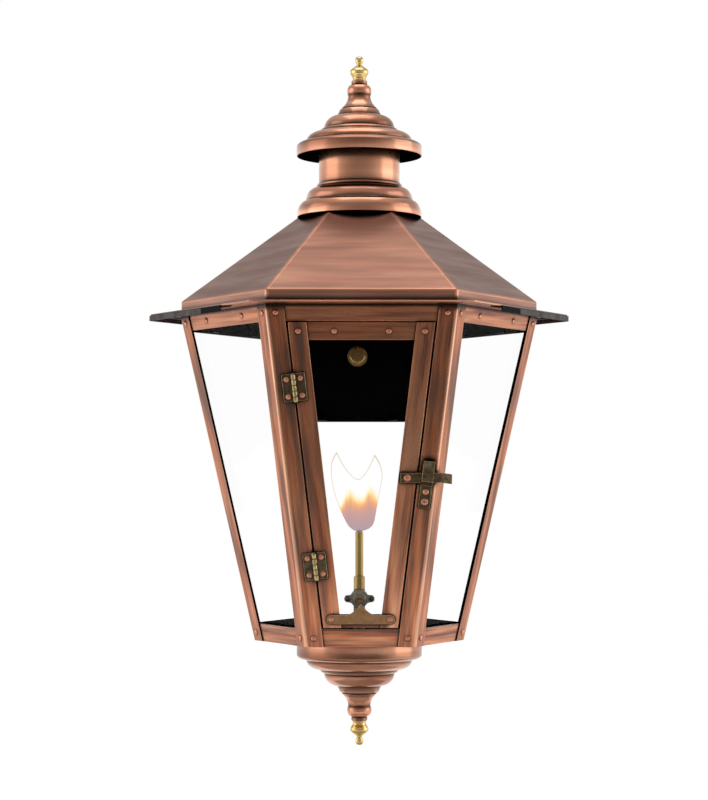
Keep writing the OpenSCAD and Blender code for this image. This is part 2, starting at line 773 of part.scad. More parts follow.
// The bracket: a plate on the wall, a web and a leaning tongue with the stud
module wall_bracket() {
    mid = stud_z;
    z0 = max(box_foot + sheet + seat_gap, mid - screw_dz / 2 - 14);
    z1 = min(frame_h - box_head - sheet - seat_gap, mid + screw_dz / 2 - 6);
    span = z1 - z0;
    color(steel) hung() difference() {
        union() {
            translate([-bracket_w / 2, wall_y - bracket_t, foot_z + z0]) cube([bracket_w, bracket_t, span]);
            back_wedge(0, wall_y, z0, z0 + bracket_t, tongue_w);
            difference() {
                back_wedge(0, wall_y, z0, z1, tongue_w);
                back_wedge(bracket_t, wall_y + past, z0 - past, z1 + past, tongue_w + past);
            }
            stud_axis() translate([0, 0, -2 * sheet - nut_h + bracket_t])
                cylinder(h = 2 * sheet + nut_h - bracket_t / 2, r = stud_r);
        }
        for (x = [-1, 1], z = [-1, 1]) {
            translate([x * screw_dx / 2, wall_y - bracket_t - past,
                foot_z + (z0 + z1) / 2 + z * screw_dz / 2])
                rotate([-90, 0, 0]) cylinder(h = bracket_t + 2 * past, r = screw_r);
        }
    }
}

// A round nut with a chamfered end and a blind bore
module cap_nut() {
    end_r = nut_r * 0.75;
    bore_h = nut_h - bracket_t + hole_fit * 3;
    color(brass) hung() stud_axis() translate([0, 0, -2 * sheet]) mirror([0, 0, 1]) rotate_extrude()
        polygon([[stud_r + fit, 0], [nut_r, 0], [nut_r, nut_h * 0.45], [end_r, nut_h], [0, nut_h],
            [0, bore_h], [stud_r + fit, bore_h]]);
}

module door_stile(hand) {
    near = leg_w + door_gap;
    color(copper) hung() difference() {
        side_sheet(0, 0, door_sheet, strip(hand, door_y0, door_y1, near, near + stile_w));
        door_spots() rivet_hole();
        badge_spots() rivet_hole();
        children();
    }
}

// The rivets that join the stiles to the top rail
module door_spots() {
    for (hand = [-1, 1]) on_side(0)
        translate([hand * (half_door(door_rivet_y) - stile_w / 2), door_rivet_y, 0]) children();
}

module door_clip_spots() {
    for (x = [-door_clip_x, door_clip_x]) on_side(0) translate([x, door_rivet_y, -door_sheet]) children();
}

module door_stile_left() { door_stile(-1) hinge_holes(1); }
module door_stile_right() {
    door_stile(1) at_latch() translate([0, 0, -door_sheet - past])
        cylinder(h = door_sheet + 2 * past, r = pivot_r + fit);
}

module door_rail(y0, y1) {
    color(copper) hung() difference() {
        side_sheet(0, door_sheet, door_sheet, band(y0, y1, leg_w + door_gap + door_rail_edge));
        door_spots() rivet_hole();
        door_clip_spots() rivet_hole();
        badge_spots() rivet_hole();
    }
}

module door_top_rail() { door_rail(door_y1 - door_top_h, door_y1); }
module door_bottom_rail() { door_rail(door_y0, door_y0 + door_bottom_h); }

module door_glass() {
    color(glass_tint) hung() side_sheet(0, 2 * door_sheet, glass_t,
        band(door_glass_y0, door_glass_y1, leg_w + door_gap + door_glass_edge));
}

// A bare brass plate with round ends and a crest of two hollow curves
module door_badge() {
    y = up(badge_z);
    r = badge_h / 2;
    x = half_door(y) - stile_w / 2;
    root = 0.5;
    crest = [for (i = [-8:8]) [crest_half_w * i / 8,
        r - root + (badge_crest + root) * pow(1 - abs(i) / 8, 1.8)]];
    foot = [[crest_half_w, 0], [-crest_half_w, 0]];
    color(antique) hung() difference() {
        on_side(0) translate([0, y, 0]) {
            translate([-x, -r, 0]) cube([2 * x, badge_h, badge_t]);
            for (end = [-x, x]) translate([end, 0, 0]) cylinder(h = badge_t, r = r);
            linear_extrude(badge_t) polygon(concat(crest, foot));
        }
        badge_spots() rivet_hole();
    }
}

module door_rivets() {
    two = 2 * door_sheet;
    hung() {
        door_spots() rivet(two);
        door_clip_spots() rivet(door_sheet + clip_t);
        badge_spots() rivet(badge_t + two + clip_t);
        for (z = [low_hinge_z, high_hinge_z]) leaf_spots(z, 1) rivet(leaf_t + door_sheet);
    }
}

module door_clips() {
    low_drop = door_glass_y0 - up(badge_z);
    color(copper) hung() {
        door_clip_spots() clip(door_sheet, door_top_h / 2 - glass_lap, clip_w);
        badge_spots() rotate([0, 0, 180]) clip(badge_t + 2 * door_sheet, low_drop, clip_w * 0.75);
    }
}

// One leaf: a plate beside the pin and its share of the knuckles
module hinge_leaf(z, hand) {
    pitch = hinge_h / knuckle_count;
    clear = knuckle_r + 0.4;
    first = hand < 0 ? 0 : 1;
    long = pitch - knuckle_gap;
    color(antique) hung() difference() {
        at_hinge(z) {
            translate([hand < 0 ? -leaf_w : clear, -hinge_h / 2, 0]) cube([leaf_w - clear, hinge_h, leaf_t]);
            for (i = [first:2:knuckle_count - 1])
                translate([0, -hinge_h / 2 + i * pitch + knuckle_gap / 2, 0]) {
                translate([0, 0, knuckle_r]) rotate([-90, 0, 0]) cylinder(h = long, r = knuckle_r);
                translate([hand < 0 ? -clear - past : 0, 0, 0]) cube([clear + past, long, leaf_t]);
            }
        }
        at_hinge(z) translate([0, -hinge_h, knuckle_r]) rotate([-90, 0, 0])
            cylinder(h = 2 * hinge_h, r = pin_r + fit);
        leaf_spots(z, hand) rivet_hole();
    }
}

module upper_post_leaf() { hinge_leaf(high_hinge_z, -1); }
module lower_post_leaf() { hinge_leaf(low_hinge_z, -1); }
module upper_door_leaf() { hinge_leaf(high_hinge_z, 1); }
module lower_door_leaf() { hinge_leaf(low_hinge_z, 1); }

// A pin through all the knuckles of a hinge, headed at both ends
module hinge_pins() {
    head_h = 0.8;
    head = knuckle_r * 0.75;
    end = hinge_h / 2;
    color(antique) hung() for (z = [low_hinge_z, high_hinge_z]) {
        at_hinge(z) translate([0, 0, knuckle_r]) rotate([-90, 0, 0]) rotate_extrude()
            polygon([[0, -end - head_h], [head, -end - head_h / 2], [head, -end], [pin_r, -end],
                [pin_r, end], [head, end], [head, end + head_h / 2], [0, end + head_h]]);
    }
}

// A flat arm with its end bent outwards as a finger tab
module latch_arm() {
    z0 = arm_lift;
    z1 = arm_lift + arm_t;
    rise = tab_len * tan(tab_angle);
    skin = arm_t / cos(tab_angle);
    color(antique) hung() difference() {
        at_latch() rotate([90, 0, 0]) translate([0, 0, -arm_h / 2]) linear_extrude(arm_h) polygon([
            [-arm_tail, z0], [arm_reach, z0], [arm_reach + tab_len, z0 + rise],
            [arm_reach + tab_len, z0 + rise + skin], [arm_reach - arm_t * tan(tab_angle / 2), z1],
            [-arm_tail, z1]]);
        at_latch() cylinder(h = z1 + past, r = pivot_r + fit);
    }
}

// The arm turns on this rivet, which has a shoulder below the arm and a broad head above it
module latch_pivot() {
    head_z = arm_lift + arm_t + shank_play;
    dome = [for (a = [0:15:90]) [pivot_head_r * cos(a), head_z + rivet_head_h * 1.2 * sin(a)]];
    shoulder = pivot_r + 1.2;
    color(rivet_copper) hung() at_latch() rotate_extrude() polygon(concat(dome,
        [[0, -door_sheet - tail_h], [pivot_r + 1, -door_sheet - tail_h], [pivot_r + 1, -door_sheet],
        [pivot_r, -door_sheet], [pivot_r, 0], [shoulder, 0], [shoulder, arm_lift - shank_play],
        [pivot_r, arm_lift - shank_play], [pivot_r, head_z]]));
}

// A spring strap: a plate on the post, a hook below the arm, a bow over it and a flared lip
module latch_keeper() {
    t = keeper_t;
    low = -keeper_hook;
    bow = arm_lift + arm_t + 2.8;
    profile = [[low - keeper_foot, 0], [low - arm_lift - arm_t, 0], [low + bow - arm_lift - arm_t, bow],
        [low + 14.4, bow - 1.8], [low + 22.2, bow + 0.5], [low + 21.9, bow + 0.5 + t],
        [low + 14.4, bow - 1.8 + t * 1.06], [low + bow - arm_lift - arm_t - 0.42 * t, bow + t * 1.12],
        [low - arm_lift - arm_t - 0.42 * t, t], [low - keeper_foot, t]];
    color(antique) hung() difference() {
        at_keeper() rotate([90, 0, 90]) translate([0, 0, -keeper_w / 2]) linear_extrude(keeper_w)
            polygon(profile);
        keeper_holes();
    }
}

// A rivet above and a slotted screw below
module keeper_fasteners() {
    slot_w = 0.9;
    grip = keeper_t + 2 * sheet;
    head = rivet_head_r * 1.3;
    color(rivet_copper) hung() at_keeper() {
        translate([0, keeper_spots[0], keeper_t]) rivet(grip, rivet_head_r * 1.1);
        translate([0, keeper_spots[1], keeper_t]) difference() {
            rivet(grip, head, rivet_head_h * 1.2);
            translate([-head - past, -slot_w / 2, rivet_head_h * 0.6])
                cube([2 * head + 2 * past, slot_w, head]);
        }
    }
}

// The valve: x across, z forwards out of its cover, on the lantern's axis
valve_back = 9;
cover_t = 2;
module at_valve() {
    translate([0, 0, foot_z + valve_z]) rotate([90, 0, 0]) children();
}

module ear_pair(r, h) {
    for (x = [-ear_x, ear_x]) translate([x, 0, 0]) cylinder(h = h, r = r);
}

ear_r = 3.5;
screw_shank = 1.3;
valve_floor = foot_z + sheet;
valve_top = foot_z + valve_z + valve_r + 0.2;

// A cast body on the floor: a foot, a neck, a round housing for the plug and two ears
module valve_body() {
    web_h = 6;
    port = gas_r + 1.6;
    color(gunmetal) hung() difference() {
        union() {
            translate([0, 0, valve_floor]) cylinder(h = 4, r = 11);
            translate([0, 0, valve_floor]) cylinder(h = valve_top - valve_floor, r = valve_neck_r);
            at_valve() translate([0, 0, -valve_back]) cylinder(h = 2 * valve_back, r = valve_r);
            at_valve() translate([0, 0, valve_back - web_h]) {
                ear_pair(ear_r, web_h);
                translate([-ear_x, -ear_r * 0.7, 0]) cube([2 * ear_x, ear_r * 1.4, web_h]);
            }
            translate([0, 0, foot_z + gas_z]) rotate([-90, 0, 0]) cylinder(h = 10, r = port);
        }
        at_valve() translate([0, 0, -plug_r - past])
            cylinder(h = valve_back + plug_r + 2 * past, r = plug_r + fit);
        at_valve() translate([0, 0, valve_back - web_h - past])
            ear_pair(screw_shank + fit, web_h + 2 * past);
        translate([0, 0, valve_floor - past]) cylinder(h = 9 + past, r = rod_r + fit);
        translate([0, 0, foot_z + gas_z]) cylinder(h = valve_z, r = gas_bore);
        translate([0, 0, foot_z + gas_z]) rotate([-90, 0, 0]) cylinder(h = 12, r = gas_bore);
        translate([0, 5, foot_z + gas_z]) rotate([-90, 0, 0]) cylinder(h = 6, r = gas_r + fit);
    }
}

// A cover with two ears, tapering from its round middle, and a raised boss round the stem
module valve_cover() {
    boss_h = 1;
    color(gunmetal) hung() at_valve() translate([0, 0, valve_back]) difference() {
        union() {
            cylinder(h = cover_t, r = valve_r);
            cylinder(h = cover_t + boss_h, r = valve_r * 0.68);
            ear_pair(ear_r, cover_t);
            for (hand = [-1, 1]) linear_extrude(cover_t) polygon([[0, valve_r * 0.82], [0, -valve_r * 0.82],
                [hand * ear_x, -ear_r * 0.9], [hand * ear_x, ear_r * 0.9]]);
        }
        translate([0, 0, -past]) cylinder(h = cover_t + boss_h + 2 * past, r = plug_r - 0.5 + fit);
        translate([0, 0, -past]) ear_pair(screw_shank + fit, cover_t + 2 * past);
    }
}

// The plug with its cross drilling, and the stem with a key slot
module valve_stem() {
    stem_h = cover_t + 5;
    slot_w = 1.4;
    color(brass) hung() at_valve() difference() {
        union() {
            translate([0, 0, -plug_r]) cylinder(h = valve_back + plug_r - hole_fit, r = plug_r);
            translate([0, 0, 0]) cylinder(h = valve_back + stem_h, r = plug_r - 0.5);
        }
        rotate([90, 0, 0]) translate([0, 0, -2 * plug_r]) cylinder(h = 4 * plug_r, r = gas_bore);
        translate([-plug_r, -slot_w / 2, valve_back + stem_h - 2]) cube([2 * plug_r, slot_w, 2 + past]);
    }
}

module valve_screws() {
    dome = [for (a = [0:18:90]) [2.5 * cos(a), 1.5 * sin(a)]];
    color(steel) hung() at_valve() translate([0, 0, valve_back + cover_t]) for (x = [-ear_x, ear_x])
        translate([x, 0, 0]) rotate_extrude()
            polygon(concat(dome, [[0, -7], [screw_shank, -7], [screw_shank, 0]]));
}

coupling_z = valve_top;
socket = 5;
module burner_coupling() {
    color(brass) hung() translate([0, 0, coupling_z]) difference() {
        cylinder(h = coupling_h, r = coupling_r);
        translate([0, 0, -past]) cylinder(h = coupling_h, r = gas_bore);
        translate([0, 0, coupling_h - socket]) cylinder(h = socket + past, r = burner_r + fit);
    }
}

burner_in = burner_r - 1;
burner_foot = coupling_z + coupling_h - socket;
burner_len = socket + burner_show;
tip_in = 5;
module burner_tube() {
    color(brass) hung() translate([0, 0, burner_foot]) difference() {
        cylinder(h = burner_len, r = burner_r);
        translate([0, 0, burner_len - tip_in]) cylinder(h = tip_in + past, r = burner_in + fit);
        translate([0, 0, -past]) cylinder(h = burner_len + past, r = gas_bore);
    }
}

// A ceramic tip with a narrow slit that spreads the flame
module burner_tip() {
    slit = 0.6;
    head = 3;
    dome = [for (a = [0:15:90]) [(burner_r - 0.3) * cos(a), tip_in + head * sin(a)]];
    color("#e8e0d0") hung() translate([0, 0, burner_foot + burner_len - tip_in]) difference() {
        rotate_extrude() polygon(concat([[0, 0], [burner_in, 0], [burner_in, tip_in]], dome));
        translate([-slit / 2, -burner_r, tip_in + head * 0.5]) cube([slit, 2 * burner_r, head]);
        translate([0, 0, -past]) cylinder(h = tip_in + past + head * 0.6, r = gas_bore * 0.6);
    }
}

// A copper tube from the valve's port to the back, then down through the floor.
// Its lower end is widened into a socket for the supply tube
module gas_tube() {
    start = 5 + hole_fit;
    run = gas_y - gas_bend - start;
    wall_in = gas_r - 1;
    low = foot_z - gas_drop;
    drop = gas_z - gas_bend + gas_drop;
    color(rivet_copper) hung() difference() {
        union() {
            translate([0, start, foot_z + gas_z]) rotate([-90, 0, 0]) cylinder(h = run, r = gas_r);
            translate([0, gas_y - gas_bend, foot_z + gas_z - gas_bend]) rotate([90, 0, 90])
                rotate_extrude(angle = 90) translate([gas_bend, 0]) circle(r = gas_r);
            translate([0, gas_y, low]) cylinder(h = drop, r = gas_r);
            translate([0, gas_y, low]) cylinder(h = gas_socket + 1, r = gas_r + 1);
        }
        translate([0, start - past, foot_z + gas_z]) rotate([-90, 0, 0])
            cylinder(h = run + past, r = wall_in);
        translate([0, gas_y - gas_bend, foot_z + gas_z - gas_bend]) rotate([90, 0, 90])
            rotate_extrude(angle = 90) translate([gas_bend, 0]) circle(r = wall_in);
        translate([0, gas_y, low - past]) cylinder(h = drop + past, r = wall_in);
        translate([0, gas_y, low - past]) cylinder(h = gas_socket + past, r = gas_r + fit);
    }
}

module base_dish() {
    color(copper) hung() translate([0, 0, finial_h + neck_h]) spun_shell(base_band);
}

module base_neck() {
    color(copper) hung() translate([0, 0, finial_h]) neck();
}

module bottom_finial() {
    color(brass) hung() translate([0, 0, finial_h]) mirror([0, 0, 1]) finial();
}

// The rod that ties the finial, the neck, the dish, the floor and the valve together
module base_rod() {
    low = finial_h - bolt_depth + seat_gap;
    color(steel) hung() translate([0, 0, low]) cylinder(h = valve_floor + 8.5 - low, r = rod_r);
}

top_finial();
top_neck();
chimney_cap();
cap_rod();
cap_bridge();
chimney_tube();
chimney_collar();
roof();
deck_plate();
wind_guard();
guard_ends();
post_front_right();
post_right();
post_back_right();
post_back_left();
post_left();
post_front_left();
top_hoop();
floor_pan();
pane_front_right();
pane_back_right();
pane_back();
pane_back_left();
pane_front_left();
pane_clips();
frame_rivets();
door_stops();
back_panel();
wall_box();
wall_bracket();
cap_nut();
door_stile_left();
door_stile_right();
door_top_rail();
door_bottom_rail();
door_glass();
door_badge();
door_rivets();
door_clips();
upper_post_leaf();
lower_post_leaf();
upper_door_leaf();
lower_door_leaf();
hinge_pins();
latch_arm();
latch_pivot();
latch_keeper();
keeper_fasteners();
valve_body();
valve_cover();
valve_stem();
valve_screws();
burner_coupling();
burner_tube();
burner_tip();
gas_tube();
base_dish();
base_neck();
bottom_finial();
base_rod();
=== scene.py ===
# %% [markdown]
# # A copper gas lantern for a wall
#
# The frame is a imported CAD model: every sheet, hinge, rivet and pipe is already in its real place
# and size, in metres. This script dresses it. It makes smooth skins for the turned and folded
# pieces, a flame, a finish for every surface, and a small white studio. The wall is the plane
# y = 0, the lantern's door looks along -y, and z points up.

import json

import bmesh
import bpy
import numpy as np
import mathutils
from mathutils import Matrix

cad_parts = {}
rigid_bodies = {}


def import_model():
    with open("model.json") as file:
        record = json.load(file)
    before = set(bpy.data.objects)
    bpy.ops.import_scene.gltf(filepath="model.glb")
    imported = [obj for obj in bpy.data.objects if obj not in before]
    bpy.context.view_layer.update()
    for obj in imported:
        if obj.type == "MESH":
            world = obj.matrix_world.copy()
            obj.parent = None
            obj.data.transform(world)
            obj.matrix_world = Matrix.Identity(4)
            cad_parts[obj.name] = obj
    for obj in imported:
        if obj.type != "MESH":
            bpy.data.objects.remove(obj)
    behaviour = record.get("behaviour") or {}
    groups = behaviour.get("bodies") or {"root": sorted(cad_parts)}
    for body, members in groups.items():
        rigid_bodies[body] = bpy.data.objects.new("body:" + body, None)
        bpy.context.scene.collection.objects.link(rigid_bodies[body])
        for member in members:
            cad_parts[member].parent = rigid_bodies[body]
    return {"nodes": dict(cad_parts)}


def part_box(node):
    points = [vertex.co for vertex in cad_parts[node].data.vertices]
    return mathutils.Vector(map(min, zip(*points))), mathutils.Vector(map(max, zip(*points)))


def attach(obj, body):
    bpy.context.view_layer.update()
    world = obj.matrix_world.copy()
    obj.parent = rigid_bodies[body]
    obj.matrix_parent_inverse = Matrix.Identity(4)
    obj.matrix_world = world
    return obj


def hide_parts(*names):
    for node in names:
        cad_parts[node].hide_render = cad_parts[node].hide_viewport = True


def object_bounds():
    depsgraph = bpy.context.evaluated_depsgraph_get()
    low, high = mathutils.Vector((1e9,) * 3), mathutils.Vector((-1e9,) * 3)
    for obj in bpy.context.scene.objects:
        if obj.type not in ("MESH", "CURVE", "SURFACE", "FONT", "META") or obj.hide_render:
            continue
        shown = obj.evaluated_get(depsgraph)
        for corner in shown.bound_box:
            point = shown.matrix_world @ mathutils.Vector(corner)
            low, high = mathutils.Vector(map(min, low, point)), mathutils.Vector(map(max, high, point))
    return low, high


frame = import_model()
nodes = frame["nodes"]
cad_low, cad_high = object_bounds()
print("CAD box, mm:", [round(1000 * v) for v in cad_high - cad_low], "nodes:", len(nodes))

# %% [markdown]
# ## Measures taken from the frame
#
# The lantern is a six-sided cone standing on its point, so a few numbers describe it: the axis, the
# heights of the frame's foot and head, and the radius out to its corners at both heights. Most are
# read from the boxes of CAD nodes, so a new pack carries them into this script. The foot's radius
# and the sheet's sizes repeat the CAD's values. A side's middle lies at FLAT times the corner
# radius. The side leans out by LEAN, and each of its edges spreads sideways by TILT.

# %% Measures
MM = 0.001


def span(node, axis):
    """Lowest and highest coordinate of a CAD node along one axis: 0, 1 or 2."""
    low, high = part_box(node)
    return low[axis], high[axis]


def middle(node, axis):
    """Middle of a CAD node's box along one axis."""
    return sum(span(node, axis)) / 2


AXIS = np.array([middle("base_rod", 0), middle("base_rod", 1), 0.0])
FOOT_Z, HEAD_Z = span("post_right", 2)
FOOT_R, HEAD_R = 105 * MM, span("post_right", 0)[1]
SIDES = 6
FLAT = np.cos(np.pi / SIDES)
SHEET = 1.2 * MM
LEG = 17 * MM
LEAN = np.arctan((HEAD_R - FOOT_R) * FLAT / (HEAD_Z - FOOT_Z))
TILT = np.arctan((HEAD_R - FOOT_R) / 2 * np.cos(LEAN) / (HEAD_Z - FOOT_Z))
print("axis", AXIS.round(4), "foot", round(FOOT_Z, 4), "head", round(HEAD_Z, 4),
      "radius", round(HEAD_R, 4))


def corner_radius(z):
    """Radius out to the frame's corners at a height: it grows evenly from foot to head."""
    return FOOT_R + (HEAD_R - FOOT_R) * (z - FOOT_Z) / (HEAD_Z - FOOT_Z)


def on_side(side, x, y, out):
    """Point on a side of the frame: x across it, y up its slope, out away from it. The front side
    is 0, and each next one is turned a sixth of a turn anticlockwise, seen from above."""
    x, y, out = np.broadcast_arrays(*(np.asarray(v, float) for v in (x, y, out)))
    back = -FOOT_R * FLAT - y * np.sin(LEAN) - out * np.cos(LEAN)
    z = FOOT_Z + y * np.cos(LEAN) - out * np.sin(LEAN)
    turn = side * 2 * np.pi / SIDES
    return AXIS + np.stack([x * np.cos(turn) - back * np.sin(turn),
                            x * np.sin(turn) + back * np.cos(turn), z], -1)


def slope_of(z):
    """Distance up the slope that belongs to a height above the origin."""
    return (z - FOOT_Z) / np.cos(LEAN)


def half_side(y):
    """Half of a side's width at a distance up its slope."""
    return FOOT_R / 2 + y * np.tan(TILT)


# %% [markdown]
# ## Turning arrays into surfaces
#
# A new piece is one grid of points: one index runs around or along it, the other across its
# profile. The points come from a formula as a whole array, and `skin` joins neighbours with
# four-sided faces. It also stores a UV map in metres, so that brush marks can follow the surface.

# %% Skin a grid of points
SAME_POINT = 2e-6
SHARP = np.radians(38)


def skin(name, points, body, around=False, across=True, capped=False, fold=None):
    """Joins a grid of points, shape (n, m, 3), with four-sided faces. around closes the first
    index, across the second, and capped both ends of a tube. u and v are lengths along the grid's
    middle lines. fold holds the grid's values of a mesh attribute that marks folds."""
    n, m = points.shape[:2]
    rows = np.arange(n if around else n - 1)
    cols = np.arange(m if across else m - 1)
    i, j = np.meshgrid(rows, cols, indexing="ij")
    corner_i = np.stack([i, i + 1, i + 1, i], -1).reshape(-1, 4)
    corner_j = np.stack([j, j, j + 1, j + 1], -1).reshape(-1, 4)
    polygons = ((corner_i % n) * m + corner_j % m).tolist()
    line_u, line_v = points[:, m // 2], points[n // 2]
    u, v = (np.concatenate([[0], np.cumsum(np.linalg.norm(
        np.diff(line, axis=0, append=line[:1]), axis=1))]) for line in (line_u, line_v))
    uv = np.stack([u[corner_i], v[corner_j]], -1).reshape(-1, 2)
    if capped:
        polygons += [list(range(m)), list(range((n - 1) * m, n * m))[::-1]]
        uv = np.concatenate([uv, np.zeros((2 * m, 2))])
    mesh = bpy.data.meshes.new(name)
    mesh.from_pydata(points.reshape(-1, 3).tolist(), [], polygons)
    mesh.uv_layers.new(name="UVMap").data.foreach_set("uv", uv.astype(np.float32).ravel())
    if fold is not None:
        marks = np.broadcast_to(fold, (n, m)).astype(np.float32)
        mesh.attributes.new("fold", "FLOAT", "POINT").data.foreach_set("value", marks.ravel())
    return finished(name, mesh, body)


def placed(name, data):
    """A new object in the scene for a mesh, lamp or camera."""
    thing = bpy.data.objects.new(name, data)
    bpy.context.scene.collection.objects.link(thing)
    return thing


def finished(name, mesh, body):
    """Merges doubled points, turns the faces outwards and hands the piece to its body."""
    work = bmesh.new()
    work.from_mesh(mesh)
    bmesh.ops.remove_doubles(work, verts=work.verts, dist=SAME_POINT)
    bmesh.ops.recalc_face_normals(work, faces=work.faces)
    work.to_mesh(mesh)
    work.free()
    mesh.polygons.foreach_set("use_smooth", [True] * len(mesh.polygons))
    mesh.set_sharp_from_angle(angle=SHARP)
    piece = placed(name, mesh)
    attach(piece, body)
    return piece


def rounded(outline, radius, steps=3, closed=True):
    """Rounds an outline's corners: each becomes a short curve whose points mix the points before,
    at and after the corner with the weights (1-t)^2, 2t(1-t) and t^2."""
    outline = np.asarray(outline, float)
    radius = np.broadcast_to(radius, len(outline))
    before, after = np.roll(outline, 1, 0) - outline, np.roll(outline, -1, 0) - outline
    reach = np.minimum(np.linalg.norm(before, axis=1), np.linalg.norm(after, axis=1)) * 0.45
    cut = np.minimum(radius, reach)[:, None]
    start = outline + before / np.linalg.norm(before, axis=1, keepdims=True) * cut
    end = outline + after / np.linalg.norm(after, axis=1, keepdims=True) * cut
    if not closed:
        start[[0, -1]] = end[[0, -1]] = outline[[0, -1]]
    t = np.linspace(0, 1, steps + 1)[None, :, None]
    start, corner, end = (points[:, None] for points in (start, outline, end))
    curve = (1 - t) ** 2 * start + 2 * t * (1 - t) * corner + t**2 * end
    return curve.reshape(-1, outline.shape[1])


def creased(outline, radius, marks, steps=3, halo=1.0 * MM):
    """A closed outline with rounded corners and one more point on either side of each, a halo's
    width away, and a value for each point: the corner's mark on its curve and 0 beyond the halo."""
    curve = rounded(outline, radius, steps).reshape(len(outline), steps + 1, -1)
    chord = np.roll(curve[:, 0], -1, 0) - curve[:, -1]
    way = chord / np.linalg.norm(chord, axis=1, keepdims=True)
    width = np.minimum(halo, np.linalg.norm(chord, axis=1, keepdims=True) * 0.3)
    after, before = curve[:, -1] + way * width, curve[:, 0] - np.roll(way * width, 1, 0)
    points = np.concatenate([before[:, None], curve, after[:, None]], 1)
    weight = np.outer(np.broadcast_to(marks, len(outline)), [0] + [1] * (steps + 1) + [0])
    return points.reshape(-1, curve.shape[2]), weight.ravel()


# %% [markdown]
# ## Turned and spun pieces
#
# The finials are turned from brass bar, and the necks, the cap, the collar and the base dish are
# spun from copper sheet over a wooden form. Both leave surfaces of revolution, so each is one
# profile carried round the axis. The profiles repeat the CAD's, with more points on every curve and
# small rounds on the edges, so that the highlights run smoothly. The same shell serves as cap
# and, turned over, as base.

# %% Profiles of revolution, in millimetres
AROUND = 144
BORE = 3.05
WALL = 1.0
TUBE_R = 40.4
GROOVE = (3.0, 6.0)
FREE_TURN, FULL_TURN = 12, 30


def arc(middle_r, middle_h, size_r, size_h, start, stop, n=14):
    """Part of an ellipse: (r, h) = middle + size * (cos a, sin a), a from start to stop degrees."""
    a = np.radians(np.linspace(start, stop, n))
    return np.stack([middle_r + size_r * np.cos(a), middle_h + size_h * np.sin(a)], 1)


def ovolo(r0, h0, r1, h1, n=12):
    """Quarter round that leaves level and ends upright, from (r0, h0) to (r1, h1)."""
    return arc(r0, h1, r1 - r0, h0 - h1, 90, 0, n)


def quarter(r0, h0, r1, h1, n=12):
    """Quarter round that leaves upright and ends level, from (r0, h0) to (r1, h1)."""
    return arc(r1, h0, r0 - r1, h1 - h0, 0, 90, n)


def smooth_curve(curve, passes=3):
    """Cuts corners: each pass puts points at a quarter and at three quarters of each step."""
    for _ in range(passes):
        a, b = curve[:-1], curve[1:]
        cut = np.stack([0.75 * a + 0.25 * b, 0.25 * a + 0.75 * b], 1).reshape(-1, 2)
        curve = np.concatenate([curve[:1], cut, curve[-1:]])
    return curve


def crease_marks(profile):
    """1 where a profile has an edge, -1 where it has a groove and 0 where it runs on: the degrees
    that it turns by, less FREE_TURN, as a share of FULL_TURN. A profile with its outside on the
    right turns left at edges and right at grooves. A groove's mark fades out over the distances
    GROOVE, of which the one along the radius is short: the dark band of painted shade lies on the
    upright side. On edges the copper finish paints its rub, as wear and a painted highlight."""
    profile = np.asarray(profile, float)
    way = np.diff(profile, axis=0, prepend=profile[:1] - (profile[1:2] - profile[:1]))
    ahead = np.roll(way, -1, 0)
    cross = way[:, 0] * ahead[:, 1] - way[:, 1] * ahead[:, 0]
    turn = np.degrees(np.arctan2(cross, (way * ahead).sum(1)))
    strength = np.clip((abs(turn) - FREE_TURN) / FULL_TURN, 0, 1)
    strength[[0, -1]] = 0
    near = np.clip(1 - (abs(profile[:, None] - profile[None, :]) / GROOVE).sum(2), 0, 1)
    groove = (near * np.where(turn < 0, strength, 0)).max(1)
    return np.where(groove > 0, -groove, np.where(turn > 0, strength, 0))


FINIAL_DEPTH = 8
FINIAL = np.array([
    [7.1, 0.3], [7.1, 1.3], [6.4, 2.0], [6.9, 3.8], [8.5, 6.2], [9.4, 8.2], [9.2, 10.4],
    [7.6, 12.4], [5.0, 14.1], [3.2, 15.6], [2.4, 16.6], [3.2, 17.8], [4.1, 19.6], [4.2, 21.8],
    [3.1, 24.2], [1.2, 24.88], [0, 24.88]])


def finial_profile():
    """Disc, onion bulb, thin waist and ball: FINIAL's corners cut round, with the rod's bore."""
    bore = [[0, FINIAL_DEPTH], [BORE, FINIAL_DEPTH], [BORE, 0], [6.8, 0]]
    return np.concatenate([bore, smooth_curve(FINIAL)])


def neck_profile(height=28.5, wide=17.5):
    """Short collar, bead, waist and a flare that grows with the power 2.2 of the height."""
    collar, bead, waist = wide * 0.46, wide * 0.695, wide * 0.64
    bead_h, flare_h = height * 0.36, height * 0.5
    t = np.linspace(0, 1, 24)[1:, None]
    flare = np.concatenate([waist + (wide - waist) * t**2.2,
                            flare_h + (height - 1.6 - flare_h) * t], 1)
    upper = arc(waist, bead_h, bead - waist, flare_h - bead_h, 6, 90, 9)
    head = [[BORE, 0], [collar - 0.3, 0], [collar, 0.3], [collar, height * 0.115],
            [collar - 0.35, height * 0.13]]
    lip = [[wide, height - 1.2], [wide - 0.3, height - 0.9], [wide - 1.8, height - 0.8],
           [wide - 1.8, height], [BORE, height]]
    return np.concatenate([head, ovolo(collar, height * 0.14, bead, bead_h), upper, flare, lip])


